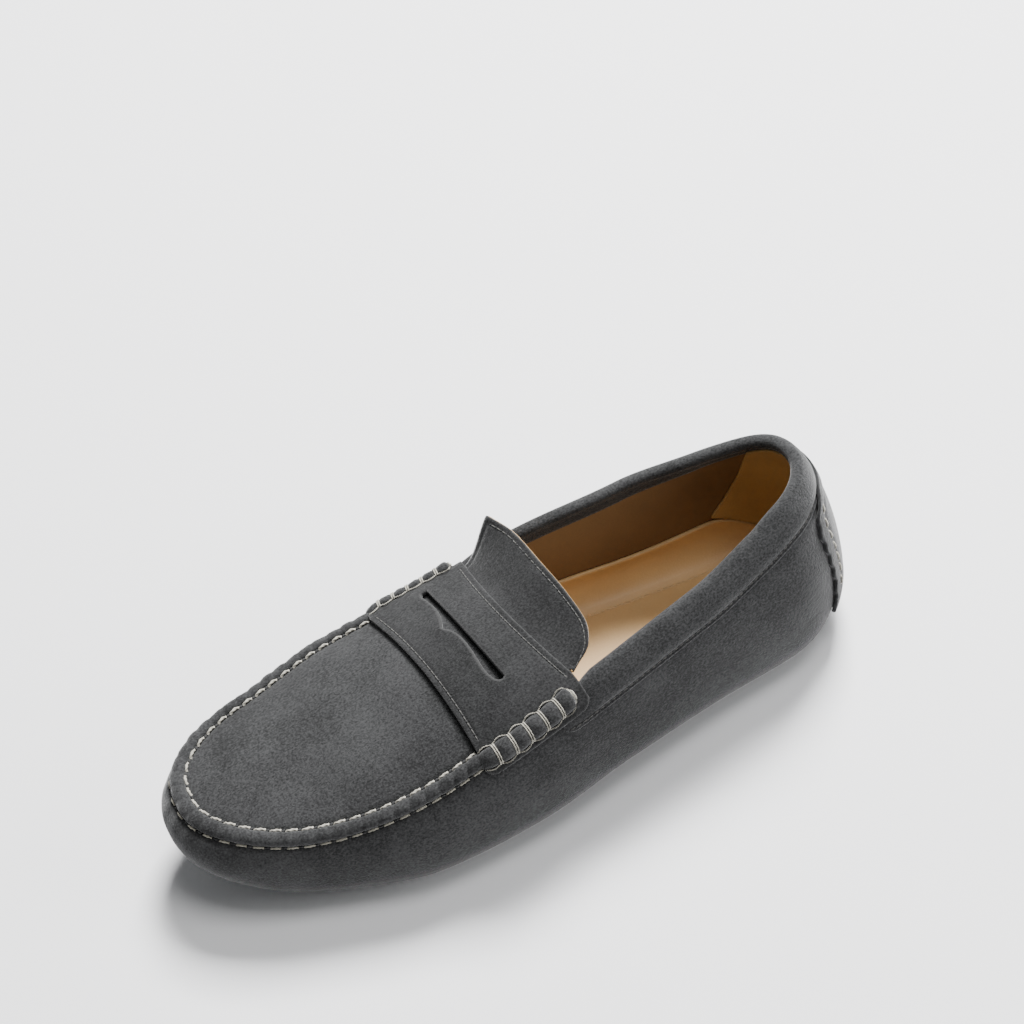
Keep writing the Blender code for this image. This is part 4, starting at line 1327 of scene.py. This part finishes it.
levels = np.linspace(0.0019, TAB_DEPTH * 0.955, 80)
waves = 0.0005 * np.sin(levels / TAB_DEPTH * 2 * math.pi * 8.0)
edge = np.stack([tab_half(levels) + waves, -levels], -1)
tab = cut_piece("heel_patch", [np.concatenate([edge, (edge * (-1, 1))[::-1]])], tab_place, tab_lift, 0.0007)
dress(tab, SUEDE_TRIM, "suede_trim", "heel_tab")

tab_levels = np.linspace(0.0065, TAB_DEPTH - 0.0075, 60)
for side in (1, -1):
    flat = np.stack([side * (tab_half(tab_levels) - TAB_SEAM), -tab_levels], -1)
    flat = at_lengths(flat, even_spots(lengths(flat)[-1], TAB_PITCH))
    high = tab_lift(flat, TAB_SEAM)[1] + 0.0002
    stitch_row("heel_patch_stitches_" + ("lateral" if side == 1 else "medial"),
               *row_on(tab_place, flat, high[:, None]), THREAD, "thread", 0.0040, 0.0010)

# %% [markdown]
# Inside, the quarters are lined with smooth tan leather, its colour darkened as painted shade, and
# the heel has a patch of tan suede that grips the foot. Both are thin shells inside the wall.

# %% Lining and heel grip
phi = full_turn(360)
lining_end = wall_depths(phi)[:, 66][:, None]
depth = 0.0035 + (lining_end - 0.0035) * np.linspace(0, 1, 30)[None]
points, _, out = inner_frame(phi, depth)
lining = shell("lining", points - out * (WALL + 0.0001), points - out * (WALL + 0.0008))
dress(lining, LINING_SHADED, "lining")


def grip_place(flat):
    """Points for the grip, which faces into the shoe."""
    points, out = heel_place(flat)
    return points, -out


def grip_lift(flat, distance):
    """Thickness of the grip over the lining."""
    return WALL + 0.0007, WALL + 0.0017


GRIP_SIDE = np.array((
    (0.0360, 0.0040), (0.0418, 0.0210), (0.0486, 0.0332), (0.0548, 0.0406), (0.0464, 0.0466),
    (0.0380, 0.0534), (0.0300, 0.0580),
))
grip_edge = np.concatenate([GRIP_SIDE * (1, -1), [(0.0, -0.0605)], (GRIP_SIDE * (-1, -1))[::-1]])
grip = cut_piece("heel_grip", [grip_edge], grip_place, grip_lift, 0.0012)
dress(grip, GRIP, "lining")

# %% [markdown]
# The sock is a tan leather sole inside the shoe. It curls up a little where it meets the lining
# and has one stitched line near its edge. Its middle is left plain.

# %% The sock
SOCK_WALL = 0.0020
SOCK_INSET = 0.0060
SOCK_GROOVE = 0.0075
SOCK_TOP = WALL + GAP + SOCK_WALL


def floor_place(flat):
    """Points on the suede's underside line and the direction up."""
    y = flat[:, 1]
    slope = (floor_line(y + 0.001) - floor_line(y - 0.001)) / 0.002
    up = unit(np.stack([np.zeros(len(y)), -slope, np.ones(len(y))], -1))
    return np.stack([flat[:, 0], y, floor_line(y)], -1), up


def sock_lift(flat, distance):
    """Thickness of the sock, curled up at its edge, with a pressed line for the stitches."""
    curl = 0.0030 * np.clip(1 - distance / 0.0085, 0, 1) ** 2
    groove = 0.0003 * hump(distance - SOCK_GROOVE, 0.0006)
    return WALL + GAP + curl, SOCK_TOP + curl - groove


phi = full_turn(720)
sock_edge = outline(phi) + inward(phi) * SOCK_INSET
sock = cut_piece("sock", [sock_edge], floor_place, sock_lift, 0.0012)
dress(sock, SOCK, "sock_leather", "insole")

CUP_TOP = np.array((
    (0.00, 0.0140), (0.40, 0.0143), (0.48, 0.0154), (0.62, 0.0212), (0.72, 0.0237), (1.00, 0.0228),
    (1.30, 0.0240), (3.15, 0.0240),
))
turned = np.where(phi > math.pi, 2 * math.pi - phi, phi)
cup_height = smooth_curve(CUP_TOP[:, 0], CUP_TOP[:, 1], turned)
heights = wall_profile(phi, np.broadcast_to(PROFILE, (len(phi), len(PROFILE))))[..., 2]
downs = wall_depths(phi)
cup_depth = np.array([np.interp(-high, -row, down) for high, row, down in zip(cup_height, heights, downs)])
depth = cup_depth[:, None] + (downs[:, -1:] - cup_depth[:, None]) * np.linspace(0, 1, 24)[None]
points, _, out = inner_frame(phi, depth)
cup = shell("sock_upturn", points - out * (WALL + 0.0009), points - out * (WALL + 0.0022))
dress(cup, SOCK, "sock_leather")

line = outline(phi) + inward(phi) * (SOCK_INSET + SOCK_GROOVE)
flat = at_lengths(line, even_spots(lengths(line)[-1], MACHINE_PITCH))
stitch_row("sock_stitches", *row_on(floor_place, flat, SOCK_TOP - 0.0001), THREAD_TAN, "sock_leather",
           0.0019, 0.0006, 0.0001, 0.0002)

# %% [markdown]
# The sole is a thin rubber plate in the opening of the suede, with round studs. The studs under
# the heel and the ball end on the floor.

# %% The sole
SOLE_STEP = 0.0012


def sole_lift(flat, distance):
    """The plate, a step proud of the suede."""
    return -SOLE_STEP, WALL


sole_edge = outline(phi) + inward(phi) * (TURN_REACH + FLANGE + GAP)
plate = cut_piece("sole_plate", [sole_edge], floor_place, sole_lift, 0.0020)
dress(plate, RUBBER, "rubber", "sole")

# %% The studs
def stud_tree():
    """A round stud with a soft shoulder on every point, as tall as the point says."""
    group, tree, given = group_tree("Studs", (("Radius", "Float"), ("Rubber", "Material")))
    post = tree.node("GeometryNodeMeshCylinder", {"fill_type": "TRIANGLE_FAN"},
                     {"Vertices": 24, "Side Segments": 6, "Fill Segments": 3,
                      "Radius": given["Radius"], "Depth": 1.0}, "Mesh")
    place = tree.node("GeometryNodeInputPosition")
    parts = tree.tree.nodes.new("ShaderNodeSeparateXYZ")
    tree.tree.links.new(place.socket, parts.inputs[0])
    x, y, z = (Wire(tree, parts.outputs[i]) for i in range(3))
    narrow = 1.0 - tree.clamp(0.5 - z) ** 5.0 * 0.30
    shaped = tree.vector(X=x * narrow, Y=y * narrow, Z=z - 0.5)
    post = tree.node("GeometryNodeSetPosition", {}, {"Geometry": post, "Position": shaped})
    scale = tree.vector(X=1.0, Y=1.0, Z=tree.named("height", "FLOAT"))
    placed = tree.node("GeometryNodeInstanceOnPoints", {}, {"Points": given["Geometry"], "Instance": post,
                                                            "Scale": scale})
    end_tree(tree, placed, given["Rubber"])
    return group


STUD_RADIUS = 0.0042
STUD_HEIGHT = 0.0022
STUD_ROWS = (
    (0.105, 3, 0.45, True), (0.155, 4, 0.62, True), (0.205, 3, 0.50, True), (0.300, 2, 0.34, False),
    (0.395, 2, 0.34, False), (0.490, 3, 0.50, False), (0.555, 4, 0.60, False), (0.620, 5, 0.68, True),
    (0.685, 5, 0.70, True), (0.750, 5, 0.70, True), (0.815, 4, 0.62, False), (0.875, 3, 0.48, False),
)
places, heights = [], []
for share, many, spread, stands in STUD_ROWS:
    half = BALL_WIDTH * float(section("half", share)) - TURN_REACH - FLANGE
    middle = BALL_WIDTH * float(section("middle", share))
    y = SHOE_LENGTH * (0.5 - share)
    under = float(floor_line(y)) - SOLE_STEP
    foot = 0.0 if stands else under - STUD_HEIGHT
    for f in np.linspace(-1, 1, many):
        places.append((middle + f * spread * half, y, under + SOLE_STEP))
        heights.append(under + SOLE_STEP - foot)
seed = add_piece("studs_seed", places, marks={"height": heights})
studs = bake_tree(seed, stud_tree(), {"Radius": STUD_RADIUS, "Rubber": RUBBER})
studs.data.set_sharp_from_angle(angle=math.radians(40))
dress(studs, RUBBER, "rubber")

# %% [markdown]
# The floor is a plain pale sheet. The camera stands where the photograph was taken from: its
# three directions and its place were worked out from the shoe's own seams.

# %% Floor, light and camera
floor_mesh = bpy.data.meshes.new("floor")
floor_mesh.from_pydata([(-6, -6, 0), (6, -6, 0), (6, 6, 0), (-6, 6, 0)], [], [(0, 1, 2, 3)])
floor = put("floor", floor_mesh)
made, tree, place = new_material("floor_paper")
shader = tree.node("ShaderNodeBsdfPrincipled", {}, {"Base Color": (0.92, 0.92, 0.93, 1.0), "Roughness": 0.7,
                                                    "Specular IOR Level": 0.2})
tree.node("ShaderNodeOutputMaterial", {}, {"Surface": shader})
floor_mesh.materials.append(made)


def stand(made, turn, place):
    """An object turned to three directions (right, up, back) and put in its place."""
    made.matrix_world = Matrix([[axis[i] for axis in (*turn, place)] for i in range(3)] + [[0, 0, 0, 1]])


def area_light(name, place, aim, size, power):
    """A soft square light that faces a point."""
    data = bpy.data.lights.new(name, "AREA")
    data.size, data.energy = size, power
    back = unit(np.array(place) - np.array(aim))
    right = unit(np.cross((0.0, 0.0, 1.0), back))
    stand(put(name, data), (right, np.cross(back, right), back), place)


area_light("key", (-0.85, 0.80, 1.55), (0.0, 0.0, 0.03), 0.65, 128.0)
area_light("top", (0.30, 0.45, 1.85), (0.0, 0.0, 0.03), 0.7, 14.0)
area_light("rim", (0.90, 1.35, 0.75), (0.0, 0.05, 0.03), 0.8, 14.0)
world = bpy.data.worlds.new("studio")
bpy.context.scene.world = world
world.use_nodes = True
sky = world.node_tree.nodes["Background"].inputs
sky["Color"].default_value = (0.96, 0.98, 1.0, 1.0)
sky["Strength"].default_value = 0.19

CAMERA_PLACE = np.array([0.560136, -0.151957, 0.781323]) - PLAN_MIDDLE
CAMERA_TURN = ((0.4385, 0.8865, -0.1476), (-0.6378, 0.4227, 0.6439), (0.6332, -0.1882, 0.7508))
data = bpy.data.cameras.new("camera")
data.lens = 91.04
data.sensor_width = 36.0
data.clip_start = 0.01
data.clip_end = 30.0
camera = put("camera", data)
stand(camera, CAMERA_TURN, CAMERA_PLACE)
bpy.context.scene.camera = camera
print("camera", round(float(np.linalg.norm(CAMERA_PLACE)), 3), "m from the shoe's middle")
